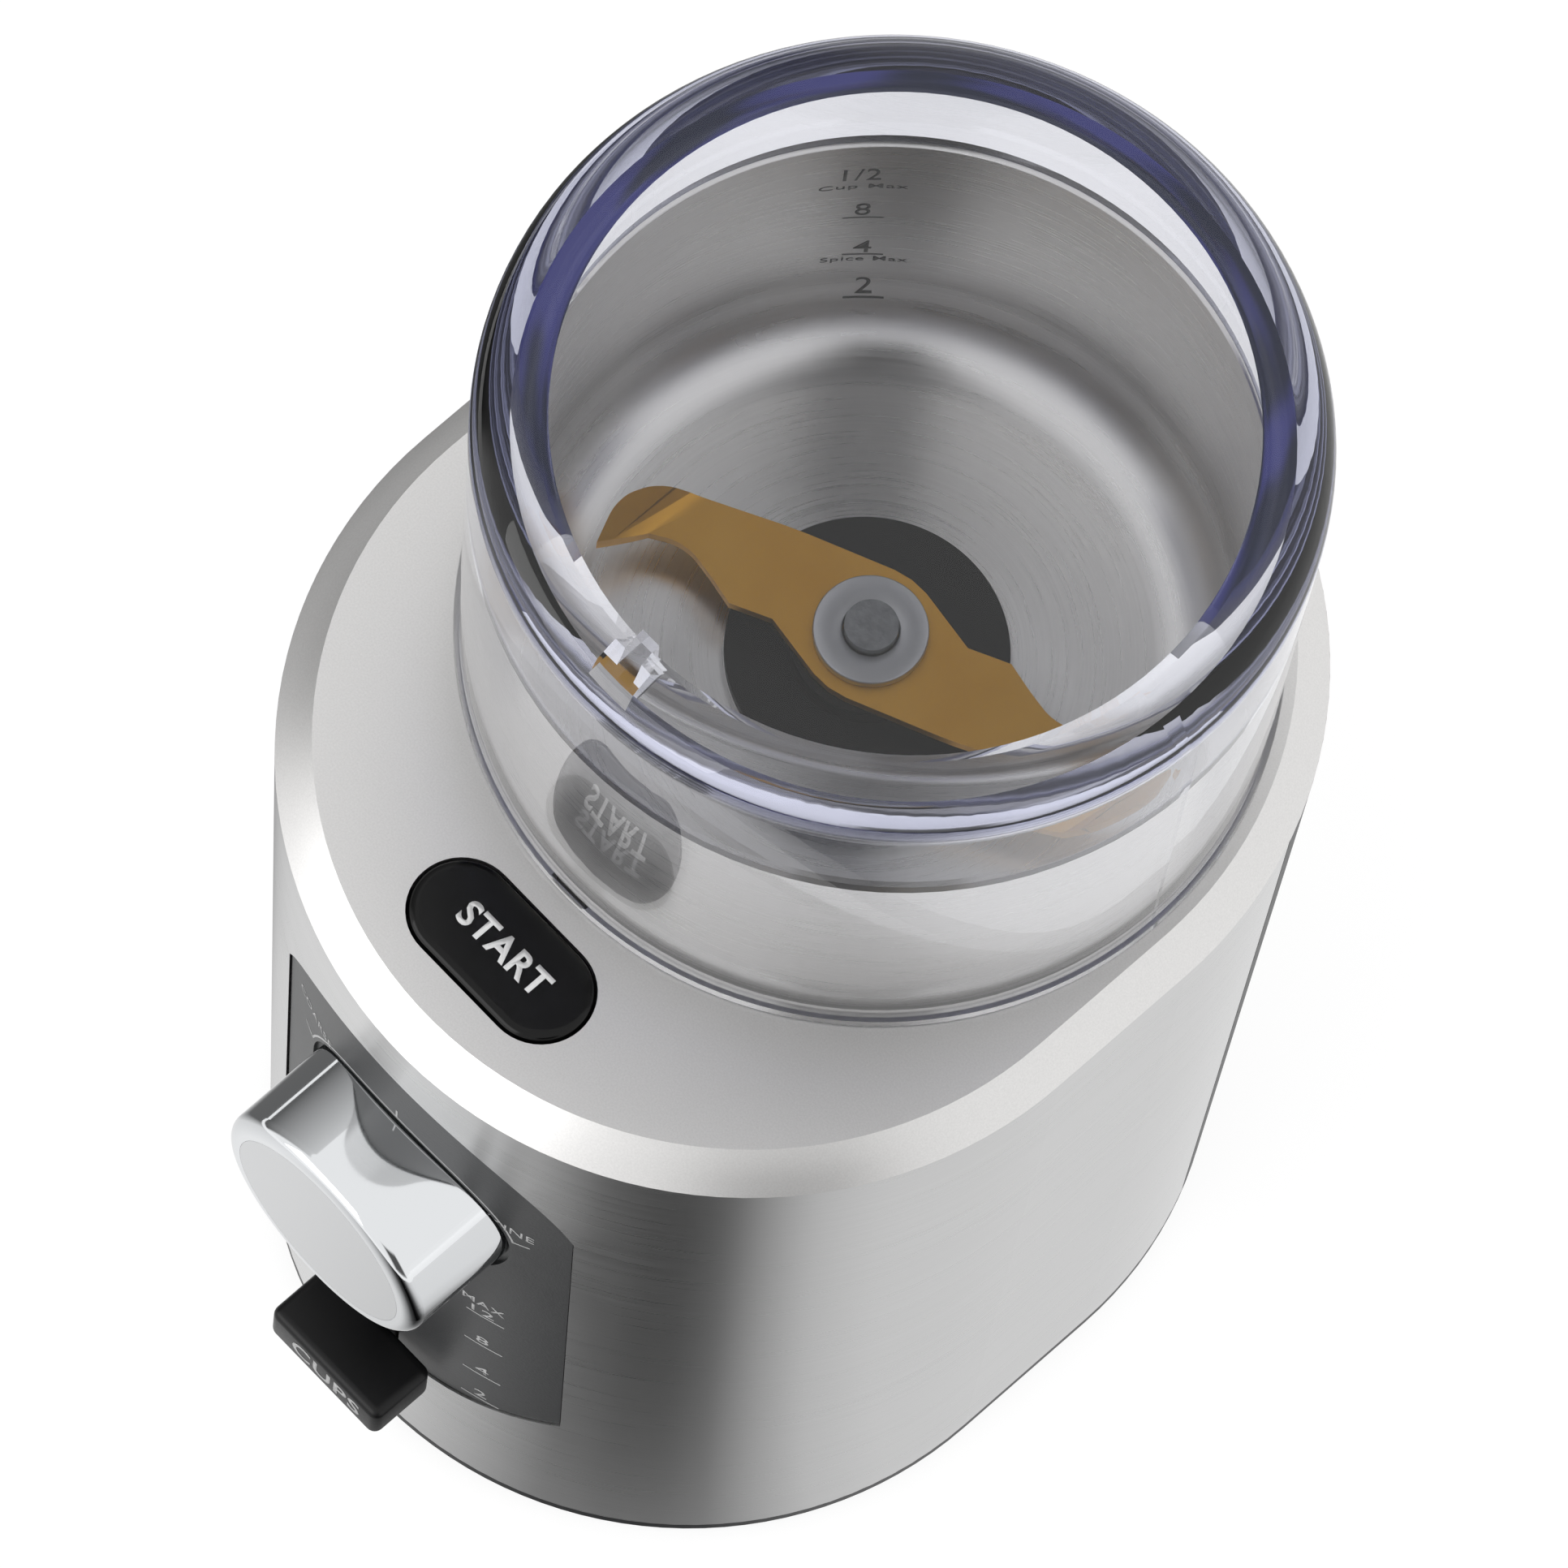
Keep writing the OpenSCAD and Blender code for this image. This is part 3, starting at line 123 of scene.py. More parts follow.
# The bowl, its blade and the motor share one upright axis, behind the middle of the body
axis_y = 0.016
lamp_aim = Vector((0, axis_y, 0.11))
card_aim = Vector((0, axis_y, 0.14))


def around(azimuth, height, distance):
    """A place round the grinder: azimuth 0 is in front of it and 90 to its right, in degrees."""
    angle = math.radians(azimuth)
    return Vector((distance * math.sin(angle), axis_y - distance * math.cos(angle), height))


def softbox(name, place, width, tall, watts):
    """A rectangular lamp that faces the grinder. It is mirrored in metal but isn't seen itself."""
    lamp = bpy.data.lights.new(name, "AREA")
    lamp.shape = "RECTANGLE"
    lamp.size = width
    lamp.size_y = tall
    lamp.energy = watts
    box = bpy.data.objects.new(name, lamp)
    bpy.context.scene.collection.objects.link(box)
    box.location = place
    box.rotation_mode = "QUATERNION"
    box.rotation_quaternion = (lamp_aim - box.location).to_track_quat("-Z", "Y")
    box.visible_camera = False
    box.visible_transmission = False
    return box


softbox("softbox_left", around(-16, 0.42, 1.05), width=1.20, tall=0.62, watts=4.2)
# The right one lights only what scatters, so that it leaves no hard highlight in the metal
right_box = softbox("softbox_right", around(104, 0.42, 1.05), width=0.70, tall=0.60, watts=2.4)
right_box.visible_glossy = False


def dark_card(name, place, width, tall, grey, soft, over_bowl=None, top=None):
    """A card that faces the grinder, dark only to a reflection and fading to white over the outer share.
    One over the bowl lies level along an azimuth, and is dark only to what the bowl reflects through the lid.
    A card with a tone of its own at the top fades to white only at its sides."""
    bpy.ops.mesh.primitive_plane_add(size=1, location=(0, 0, 0))
    card = bpy.context.object
    card.name = name
    card.scale = (width, tall, 1)
    card.rotation_mode = "QUATERNION"
    card.rotation_quaternion = (card_aim - place).to_track_quat("Z", "Y")
    if over_bowl is not None:
        card.rotation_quaternion = Quaternion((0, 0, 1), math.radians(over_bowl))
    card.location = place
    felt = new_finish(name + " felt")
    at = add_node(felt, "ShaderNodeTexCoord").outputs["Object"]
    size = add_node(felt, "ShaderNodeVectorMath", {"operation": "ABSOLUTE"}, {0: at})
    sides = add_node(felt, "ShaderNodeSeparateXYZ", {}, {0: size.outputs[0]})
    ends = sides.outputs[1] if top is None else 0.0
    edge = add_node(felt, "ShaderNodeMath", {"operation": "MAXIMUM"}, {0: sides.outputs[0], 1: ends})
    if top is not None:
        upright = add_node(felt, "ShaderNodeSeparateXYZ", {}, {0: at})
        grey = add_node(felt, "ShaderNodeMapRange", {}, {
            "Value": upright.outputs[1], "From Min": -0.5, "From Max": 0.5,
            "To Min": grey, "To Max": top}).outputs[0]
    fade = add_node(felt, "ShaderNodeMapRange", {"interpolation_type": "SMOOTHSTEP"}, {
        "Value": edge.outputs[0], "From Min": 0.5 - 0.5 * soft, "From Max": 0.5,
        "To Min": grey, "To Max": 1.0})
    rays = add_node(felt, "ShaderNodeLightPath").outputs
    bounced = add_node(felt, "ShaderNodeMath", {"operation": "MINIMUM"}, {0: rays["Glossy Depth"], 1: 1.0})
    if over_bowl is not None:
        passed = add_node(felt, "ShaderNodeMath", {"operation": "MINIMUM"}, {
            0: rays["Transmission Depth"], 1: 1.0})
        bounced = add_node(felt, "ShaderNodeMath", {"operation": "MULTIPLY"}, {
            0: bounced.outputs[0], 1: passed.outputs[0]})
    strength = add_node(felt, "ShaderNodeMapRange", {}, {
        "Value": bounced.outputs[0], "To Min": 1.0, "To Max": fade.outputs[0]})
    tone = add_node(felt, "ShaderNodeEmission", {}, {"Color": [1, 1, 1, 1], "Strength": strength.outputs[0]})
    add_node(felt, "ShaderNodeOutputMaterial", {}, {"Surface": tone.outputs[0]})
    card.data.materials.append(felt)
    card.visible_camera = False
    card.visible_diffuse = False
    card.visible_shadow = False


# One over the bowl for the dark wedge in its far wall, one at the right front for the dark stripe down
# the shell, and one at the left for the shade on that side
dark_card("card_over_bowl", around(85, 1.85, 0.15), width=0.64, tall=3.2, grey=0.0, soft=0.3, over_bowl=43)
dark_card("card_right_front", around(56, 0.16, 0.70), width=0.46, tall=0.42, grey=0.10, soft=0.50)
dark_card("card_left_back", around(-94, 0.30, 0.55), width=0.95, tall=0.80, grey=0.02, soft=0.3, top=0.7)

# Felt on the table round the foot, seen only by the shell's low reflections. It is dark in front of the
# right side and at the left, and pale elsewhere: each pair is an azimuth and the felt's tone there.
felt_tones = (
    (-180, 0.9), (-140, 0.9), (-118, 0.14), (-75, 0.14), (-55, 0.8), (-20, 0.95), (0, 0.72), (14, 0.38),
    (26, 0.07), (36, 0.0), (43, 0.01), (50, 0.11), (58, 0.43), (66, 0.70), (78, 0.84), (180, 0.9))
felt_r = 0.45
felt_middle = (0, -0.005, felt_z)
bpy.ops.mesh.primitive_circle_add(vertices=64, radius=felt_r, fill_type="NGON", location=felt_middle)
felt_disc = bpy.context.object
felt_disc.name = "table_felt"
felt = new_finish("table felt")
place = add_node(felt, "ShaderNodeTexCoord").outputs["Object"]
parts = add_node(felt, "ShaderNodeSeparateXYZ", {}, {0: place}).outputs
back = add_node(felt, "ShaderNodeMath", {"operation": "MULTIPLY"}, {0: parts[1], 1: -1})
turn = add_node(felt, "ShaderNodeMath", {"operation": "ARCTAN2"}, {0: parts[0], 1: back.outputs[0]})
turn = add_node(felt, "ShaderNodeMapRange", {}, {
    "Value": turn.outputs[0], "From Min": -math.pi, "From Max": math.pi})
tones = add_node(felt, "ShaderNodeValToRGB", {}, {"Fac": turn.outputs[0]})
for degrees, grey in felt_tones:
    stop = tones.color_ramp.elements.new((degrees + 180) / 360)
    stop.color = (grey, grey, grey, 1)
tones.color_ramp.elements.remove(tones.color_ramp.elements[0])
tones.color_ramp.elements.remove(tones.color_ramp.elements[-1])
# The felt turns paler within 30 mm of the shell's foot
reach = add_node(felt, "ShaderNodeVectorMath", {"operation": "LENGTH"}, {0: place})
foot = add_node(felt, "ShaderNodeMapRange", {}, {
    "Value": reach.outputs["Value"], "From Min": 0.055, "From Max": 0.085, "To Min": 0.2, "To Max": 0.0})
tones = add_node(felt, "ShaderNodeMix", {"data_type": "RGBA"}, {
    0: foot.outputs[0], 6: tones.outputs[0], 7: [0.9, 0.9, 0.9, 1]})
tone = add_node(felt, "ShaderNodeEmission", {}, {"Color": tones.outputs[2], "Strength": 1.0})
add_node(felt, "ShaderNodeOutputMaterial", {}, {"Surface": tone.outputs[0]})
felt_disc.data.materials.append(felt)
felt_disc.visible_camera = False
felt_disc.visible_diffuse = False
felt_disc.visible_transmission = False
felt_disc.visible_shadow = False

# Blue-black cloth round the back and left, standing and lying on the table, seen only through the clear
# lid. The lid's thick corner bends rays out to the horizon, so the cloth draws it as a deep blue ring.
blue_cloth = new_finish("blue-black cloth")
place = add_node(blue_cloth, "ShaderNodeTexCoord").outputs["Object"]
# Folds 0.2 m wide
folds = add_node(blue_cloth, "ShaderNodeTexNoise", {}, {"Vector": place, "Scale": 5, "Detail": 1})
spread = add_node(blue_cloth, "ShaderNodeMapRange", {"interpolation_type": "SMOOTHSTEP"}, {
    "Value": folds.outputs[0], "From Min": 0.42, "From Max": 0.62})
tint = add_node(blue_cloth, "ShaderNodeMix", {"data_type": "RGBA"}, {
    0: spread.outputs[0], 6: linear("#151c33"), 7: linear("#383a74")})
tone = add_node(blue_cloth, "ShaderNodeEmission", {}, {"Color": tint.outputs[2], "Strength": 1.0})
add_node(blue_cloth, "ShaderNodeOutputMaterial", {}, {"Surface": tone.outputs[0]})


def keep_faces(piece, wanted):
    """Deletes the faces whose middle isn't wanted."""
    bpy.ops.object.mode_set(mode="EDIT")
    bpy.ops.mesh.select_mode(type="FACE")
    bpy.ops.mesh.select_all(action="DESELECT")
    bpy.ops.object.mode_set(mode="OBJECT")
    for face in piece.data.polygons:
        face.select = not wanted(face.center)
    bpy.ops.object.mode_set(mode="EDIT")
    bpy.ops.mesh.delete(type="FACE")
    bpy.ops.object.mode_set(mode="OBJECT")


cloth_inner_r = 0.17
cloth_outer_share = 3
cloth_tall = 0.7
cloth_azimuth = -142
cloth_reach = 100
cloth_middle = (0, axis_y, cloth_z)


def is_on_cloth(at):
    azimuth = math.degrees(math.atan2(at.x, -at.y))
    return abs((azimuth - cloth_azimuth + 180) % 360 - 180) < cloth_reach


bpy.ops.mesh.primitive_circle_add(
    vertices=72, radius=cloth_inner_r, fill_type="NOTHING", location=cloth_middle)
cloth = bpy.context.object
cloth.name = "blue_surround"
bpy.ops.object.mode_set(mode="EDIT")
bpy.ops.mesh.select_mode(type="EDGE")
bpy.ops.mesh.select_all(action="SELECT")
bpy.ops.mesh.extrude_edges_move()
bpy.ops.transform.resize(value=(cloth_outer_share, cloth_outer_share, 1), center_override=cloth_middle)
bpy.ops.mesh.extrude_edges_move()
bpy.ops.transform.translate(value=(0, 0, cloth_tall))
bpy.ops.object.mode_set(mode="OBJECT")
keep_faces(cloth, is_on_cloth)
cloth.data.materials.append(blue_cloth)
cloth.visible_camera = False
cloth.visible_diffuse = False
cloth.visible_glossy = False
cloth.visible_shadow = False

# The lid and the steel behind it need this many turns of a ray, or their edges go black
bpy.context.scene.cycles.max_bounces = 24
bpy.context.scene.cycles.glossy_bounces = 12
bpy.context.scene.cycles.transmission_bounces = 16


def dress(finish, *names):
    """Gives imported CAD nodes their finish."""
    for name in names:
        nodes[name].data.materials.clear()
        nodes[name].data.materials.append(finish)


# Base plate and rear housing: black ABS, injection moulded. The plate screws up into the frame, and has air
# slots under the fan. The mould's faint spark-eroded texture makes the highlights soft and slightly broken.
black_abs = new_finish("moulded black ABS")
place = add_node(black_abs, "ShaderNodeTexCoord").outputs["Object"]
# Texture grains of 0.35 mm
grains = add_node(black_abs, "ShaderNodeTexNoise", {}, {"Vector": place, "Scale": 2900, "Detail": 2})
bump = add_node(black_abs, "ShaderNodeBump", {}, {
    "Strength": 0.25, "Distance": 0.00008, "Height": grains.outputs[0]})
sheen = add_node(black_abs, "ShaderNodeMapRange", {}, {
    "Value": grains.outputs[0], "To Min": 0.38, "To Max": 0.56})
skin = add_node(black_abs, "ShaderNodeBsdfPrincipled", {}, {
    "Base Color": linear("#1b1c1e"), "Roughness": sheen.outputs[0], "IOR": 1.53, "Normal": bump.outputs[0]})
add_node(black_abs, "ShaderNodeOutputMaterial", {}, {"Surface": skin.outputs[0]})
dress(black_abs, "base_plate", "rear_housing")

# Feet, grommet and the motor's bushes: moulded natural black rubber. The feet and the grommet are pressed
# into their pockets, and the bushes part the motor from the deck, round its screws. Rubber is matt and
# slightly dusty, so it looks a little paler than the ABS round it.
rubber = new_finish("moulded black rubber")
place = add_node(rubber, "ShaderNodeTexCoord").outputs["Object"]
# Dust in patches of about 1.7 mm
dust = add_node(rubber, "ShaderNodeTexNoise", {}, {"Vector": place, "Scale": 600, "Detail": 4})
tint = add_node(rubber, "ShaderNodeMix", {"data_type": "RGBA"}, {
    0: dust.outputs[0], 6: linear("#202122"), 7: linear("#2c2d2e")})
skin = add_node(rubber, "ShaderNodeBsdfPrincipled", {}, {
    "Base Color": tint.outputs[2], "Roughness": 0.8, "IOR": 1.52})
add_node(rubber, "ShaderNodeOutputMaterial", {}, {"Surface": skin.outputs[0]})
dress(rubber, "rubber_feet", "cord_grommet", "motor_bushes")

# Screws: cold-headed steel with a bright zinc coat. Those of the base go up into the frame's bosses, and
# those of the motor go down through the deck. The coat reads as a pale, faintly mottled grey metal.
zinc = new_finish("zinc-plated steel")
place = add_node(zinc, "ShaderNodeTexCoord").outputs["Object"]
# Mottle of about 1 mm
mottle = add_node(zinc, "ShaderNodeTexNoise", {}, {"Vector": place, "Scale": 900, "Detail": 3})
sheen = add_node(zinc, "ShaderNodeMapRange", {}, {"Value": mottle.outputs[0], "To Min": 0.25, "To Max": 0.45})
skin = add_node(zinc, "ShaderNodeBsdfPrincipled", {}, {
    "Base Color": linear("#b5b8ba"), "Metallic": 1.0, "Roughness": sheen.outputs[0]})
add_node(zinc, "ShaderNodeOutputMaterial", {}, {"Surface": skin.outputs[0]})
dress(zinc, "base_screws", "motor_screws")

# Steel wrap: 0.8 mm stainless sheet, bent round the front and flanks and brushed level with a belt.
# The level grain smears every reflection upright, which draws the tall soft bands on the shell.
shell_steel = new_finish("brushed stainless sheet")
place = add_node(shell_steel, "ShaderNodeTexCoord").outputs["Object"]
# Scratches 0.35 mm apart and about 40 mm long, drawn coarser than the real grit so that they show
across = add_node(shell_steel, "ShaderNodeMapping", {}, {"Vector": place, "Scale": (25, 25, 2800)})
scratches = add_node(shell_steel, "ShaderNodeTexNoise", {}, {
    "Vector": across.outputs[0], "Scale": 1.0, "Detail": 3})
tint = add_node(shell_steel, "ShaderNodeMix", {"data_type": "RGBA"}, {
    0: scratches.outputs[0], 6: linear("#c9c9c9"), 7: linear("#d9d9d9")})
sheen = add_node(shell_steel, "ShaderNodeMapRange", {}, {
    "Value": scratches.outputs[0], "To Min": 0.24, "To Max": 0.34})
grain = add_node(shell_steel, "ShaderNodeTangent", {"direction_type": "RADIAL", "axis": "Z"})
bump = add_node(shell_steel, "ShaderNodeBump", {}, {
    "Strength": 0.08, "Distance": 0.00002, "Height": scratches.outputs[0]})
skin = add_node(shell_steel, "ShaderNodeBsdfPrincipled", {}, {
    "Base Color": tint.outputs[2], "Metallic": 1.0, "Roughness": sheen.outputs[0], "Anisotropic": 0.85,
    "Anisotropic Rotation": 0.25, "Tangent": grain.outputs[0], "Normal": bump.outputs[0]})
add_node(shell_steel, "ShaderNodeOutputMaterial", {}, {"Surface": skin.outputs[0]})
dress(shell_steel, "steel_wrap")

# Inner frame, bowl base, slider carriage, fan and couplings: glass-filled nylon and ABS, injection moulded.
# They are matt and slightly grey, with faint clouds where the melt flowed.
frame_plastic = new_finish("moulded frame ABS")
place = add_node(frame_plastic, "ShaderNodeTexCoord").outputs["Object"]
# Clouds of 4 mm
flow = add_node(frame_plastic, "ShaderNodeTexNoise", {}, {"Vector": place, "Scale": 250, "Detail": 4})
tint = add_node(frame_plastic, "ShaderNodeMix", {"data_type": "RGBA"}, {
    0: flow.outputs[0], 6: linear("#292a2d"), 7: linear("#35363a")})
skin = add_node(frame_plastic, "ShaderNodeBsdfPrincipled", {}, {
    "Base Color": tint.outputs[2], "Roughness": 0.5, "IOR": 1.53})
add_node(frame_plastic, "ShaderNodeOutputMaterial", {}, {"Surface": skin.outputs[0]})
dress(frame_plastic, "inner_frame", "slider_carriage", "cooling_fan", "drive_coupling", "bowl_coupling",
      "bowl_base")

# Boards: glass-epoxy laminate, routed to shape and held on posts, under a green solder mask.
# The mask is glossy, and the weave of the glass shows faintly through it.
board_mask = new_finish("green solder mask")
place = add_node(board_mask, "ShaderNodeTexCoord").outputs["Object"]
# Weave of 0.6 mm
weave = add_node(board_mask, "ShaderNodeTexWave", {"bands_direction": "DIAGONAL"}, {
    "Vector": place, "Scale": 500, "Distortion": 2})
tint = add_node(board_mask, "ShaderNodeMix", {"data_type": "RGBA"}, {
    0: weave.outputs[0], 6: linear("#17492a"), 7: linear("#1f5a35")})
skin = add_node(board_mask, "ShaderNodeBsdfPrincipled", {}, {
    "Base Color": tint.outputs[2], "Roughness": 0.3, "IOR": 1.55})
add_node(board_mask, "ShaderNodeOutputMaterial", {}, {"Surface": skin.outputs[0]})
dress(board_mask, "control_board", "start_board")

# Potentiometers, switches and the plunger: small pieces moulded in dark thermoplastic, satin and slightly
# clouded. The potentiometers and the START switch sit on their boards, and the lid switch on a shelf.
case_plastic = new_finish("moulded switch case")
place = add_node(case_plastic, "ShaderNodeTexCoord").outputs["Object"]
# Clouds of about 1.4 mm
flow = add_node(case_plastic, "ShaderNodeTexNoise", {}, {"Vector": place, "Scale": 700, "Detail": 3})
tint = add_node(case_plastic, "ShaderNodeMix", {"data_type": "RGBA"}, {
    0: flow.outputs[0], 6: linear("#34383b"), 7: linear("#43484b")})
skin = add_node(case_plastic, "ShaderNodeBsdfPrincipled", {}, {
    "Base Color": tint.outputs[2], "Roughness": 0.42, "IOR": 1.53})
add_node(case_plastic, "ShaderNodeOutputMaterial", {}, {"Surface": skin.outputs[0]})
dress(case_plastic, "grind_potentiometer", "cups_potentiometer", "start_switch", "lid_switch",
      "switch_plunger")

# Motor iron: sheets stamped from electrical steel, stacked into a block and varnished.
# The edge of each sheet shows as a fine line.
laminate = new_finish("stacked electrical steel")
place = add_node(laminate, "ShaderNodeTexCoord").outputs["Object"]
# Sheets 0.5 mm thick
sheets = add_node(laminate, "ShaderNodeTexWave", {"bands_direction": "Z"}, {"Vector": place, "Scale": 318})
tint = add_node(laminate, "ShaderNodeMix", {"data_type": "RGBA"}, {
    0: sheets.outputs[0], 6: linear("#5a5f63"), 7: linear("#80868b")})
skin = add_node(laminate, "ShaderNodeBsdfPrincipled", {}, {
    "Base Color": tint.outputs[2], "Metallic": 1.0, "Roughness": 0.45})
add_node(laminate, "ShaderNodeOutputMaterial", {}, {"Surface": skin.outputs[0]})
dress(laminate, "motor_stator", "rotor_core")

# Windings: enamelled copper wire, wound on the stator and the rotor and dipped in varnish.
# They are a glossy orange-brown that shows the lie of the wire.
enamelled_wire = new_finish("enamelled copper wire")
place = add_node(enamelled_wire, "ShaderNodeTexCoord").outputs["Object"]
# Wire 0.6 mm thick
turns = add_node(enamelled_wire, "ShaderNodeTexWave", {"bands_direction": "Z"}, {
    "Vector": place, "Scale": 265, "Distortion": 1.5})
tint = add_node(enamelled_wire, "ShaderNodeMix", {"data_type": "RGBA"}, {
    0: turns.outputs[0], 6: linear("#7a3d18"), 7: linear("#b8682e")})
skin = add_node(enamelled_wire, "ShaderNodeBsdfPrincipled", {}, {
    "Base Color": tint.outputs[2], "Metallic": 0.8, "Roughness": 0.3})
add_node(enamelled_wire, "ShaderNodeOutputMaterial", {}, {"Surface": skin.outputs[0]})
dress(enamelled_wire, "field_coils", "rotor_windings")

# Brackets, bearings and shafts: die-cast alloy brackets with the bearings pressed in, and ground steel
# shafts. All are grey metals with a fine grain.
machined = new_finish("ground and cast metal")
place = add_node(machined, "ShaderNodeTexCoord").outputs["Object"]
# Grain of 0.8 mm, drawn coarser than real so that it shows
marks = add_node(machined, "ShaderNodeTexNoise", {}, {"Vector": place, "Scale": 1200, "Detail": 3})
sheen = add_node(machined, "ShaderNodeMapRange", {}, {
    "Value": marks.outputs[0], "To Min": 0.28, "To Max": 0.5})
skin = add_node(machined, "ShaderNodeBsdfPrincipled", {}, {
    "Base Color": linear("#a6a9ac"), "Metallic": 1.0, "Roughness": sheen.outputs[0]})
add_node(machined, "ShaderNodeOutputMaterial", {}, {"Surface": skin.outputs[0]})
dress(machined, "motor_top_bracket", "motor_bottom_bracket", "motor_bearings", "motor_shaft", "knob_shaft")

# Brush gear and blade bush: brass brush holders, a copper commutator and a bronze bush, all dulled by use
# to one yellow metal, and grey-black brushes of pressed carbon that slide in the holders.
brass = new_finish("pressed brass")
place = add_node(brass, "ShaderNodeTexCoord").outputs["Object"]
# Tarnish in patches of 2.5 mm
tarnish = add_node(brass, "ShaderNodeTexNoise", {}, {"Vector": place, "Scale": 400, "Detail": 4})
tint = add_node(brass, "ShaderNodeMix", {"data_type": "RGBA"}, {
    0: tarnish.outputs[0], 6: linear("#a8813c"), 7: linear("#cfa657")})
skin = add_node(brass, "ShaderNodeBsdfPrincipled", {}, {
    "Base Color": tint.outputs[2], "Metallic": 1.0, "Roughness": 0.35})
add_node(brass, "ShaderNodeOutputMaterial", {}, {"Surface": skin.outputs[0]})
dress(brass, "brush_holders", "blade_bush", "commutator")
carbon = new_finish("pressed carbon")
place = add_node(carbon, "ShaderNodeTexCoord").outputs["Object"]
# Specks of 0.3 mm
specks = add_node(carbon, "ShaderNodeTexNoise", {}, {"Vector": place, "Scale": 3000, "Detail": 2})
tint = add_node(carbon, "ShaderNodeMix", {"data_type": "RGBA"}, {
    0: specks.outputs[0], 6: linear("#141414"), 7: linear("#303030")})
skin = add_node(carbon, "ShaderNodeBsdfPrincipled", {}, {"Base Color": tint.outputs[2], "Roughness": 0.7})
add_node(carbon, "ShaderNodeOutputMaterial", {}, {"Surface": skin.outputs[0]})
dress(carbon, "carbon_brushes")

# Top cover: ABS sprayed with a satin silver lacquer. Its aluminium flakes lie flat, so the level top is
# an even pale grey with a fine sparkle, and the crease at the band's edge catches the light.
silver_paint = new_finish("satin silver lacquer")
place = add_node(silver_paint, "ShaderNodeTexCoord").outputs["Object"]
# Flakes of 0.25 mm, drawn larger than real so that they show
flakes = add_node(silver_paint, "ShaderNodeTexNoise", {}, {"Vector": place, "Scale": 4000, "Detail": 1})
tint = add_node(silver_paint, "ShaderNodeMix", {"data_type": "RGBA"}, {
    0: flakes.outputs[0], 6: linear("#d6d5d4"), 7: linear("#e6e5e4")})
bump = add_node(silver_paint, "ShaderNodeBump", {}, {
    "Strength": 0.12, "Distance": 0.00003, "Height": flakes.outputs[0]})
skin = add_node(silver_paint, "ShaderNodeBsdfPrincipled", {}, {
    "Base Color": tint.outputs[2], "Metallic": 0.9, "Roughness": 0.36, "Normal": bump.outputs[0]})
add_node(silver_paint, "ShaderNodeOutputMaterial", {}, {"Surface": skin.outputs[0]})
dress(silver_paint, "top_cover")

# START button: a cap moulded in gloss black ABS with a rounded edge, with its word pad-printed in white.
# The polish gives a dark mirror, broken a little by finger smears, and the ink is flat and slightly uneven.
gloss_black = new_finish("polished black ABS")
place = add_node(gloss_black, "ShaderNodeTexCoord").outputs["Object"]
# Smears of about 5.5 mm
smears = add_node(gloss_black, "ShaderNodeTexNoise", {}, {"Vector": place, "Scale": 180, "Detail": 3})
sheen = add_node(gloss_black, "ShaderNodeMapRange", {}, {
    "Value": smears.outputs[0], "To Min": 0.10, "To Max": 0.2})
skin = add_node(gloss_black, "ShaderNodeBsdfPrincipled", {}, {
    "Base Color": linear("#080808"), "Roughness": sheen.outputs[0], "IOR": 1.32})
add_node(gloss_black, "ShaderNodeOutputMaterial", {}, {"Surface": skin.outputs[0]})
dress(gloss_black, "start_button")
white_ink = new_finish("white pad-printing ink")
place = add_node(white_ink, "ShaderNodeTexCoord").outputs["Object"]
# Uneven cover in specks of 0.4 mm
cover = add_node(white_ink, "ShaderNodeTexNoise", {}, {"Vector": place, "Scale": 2500, "Detail": 2})
tint = add_node(white_ink, "ShaderNodeMix", {"data_type": "RGBA"}, {
    0: cover.outputs[0], 6: linear("#dcdcdc"), 7: linear("#efefef")})
skin = add_node(white_ink, "ShaderNodeBsdfPrincipled", {}, {
    "Base Color": tint.outputs[2], "Roughness": 0.45, "IOR": 1.5})
add_node(white_ink, "ShaderNodeOutputMaterial", {}, {"Surface": skin.outputs[0]})
ink_gap = 0.00001
ink_thick = 0.00003


def ink_film(marks, name, ink, body, onto, place, turn):
    """Turns and places flat marks, lays them on a CAD node behind them and makes them a thin film of ink."""
    marks.name = name
    marks.data.materials.clear()
    marks.data.materials.append(ink)
    marks.location = place
    marks.rotation_euler = [math.radians(angle) for angle in turn]
    lay = marks.modifiers.new("lay", "SHRINKWRAP")
    lay.target = nodes[onto]
    lay.wrap_method = "PROJECT"
    lay.wrap_mode = "ABOVE_SURFACE"
    lay.use_project_z = True
    lay.use_negative_direction = True
    lay.use_positive_direction = False
    lay.offset = ink_gap
    bpy.ops.object.modifier_apply(modifier="lay")
    film = marks.modifiers.new("film", "SOLIDIFY")
    film.thickness = ink_thick
    film.offset = 1
    bpy.ops.object.modifier_apply(modifier="film")
    bpy.ops.object.transform_apply(location=True, rotation=True, scale=True)
    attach(marks, body)
    bpy.ops.object.select_all(action="DESELECT")


def flat_word(words, width, tall, weight):
    """A word as a flat mesh of that size in mm in the XY plane. The weight thickens its strokes."""
    bpy.ops.object.text_add(location=(0, 0, 0))
    word = bpy.context.object
    word.data.body = words
    word.data.offset = weight
    word.data.space_character = 1.08
    word.data.resolution_u = 4
    bpy.ops.object.convert(target="MESH")
    bpy.ops.object.origin_set(type="ORIGIN_GEOMETRY", center="BOUNDS")
    word.location = (0, 0, 0)
    word.dimensions = (width / 1000, tall / 1000, 0)
    bpy.ops.object.transform_apply(location=True, rotation=True, scale=True)
    return word


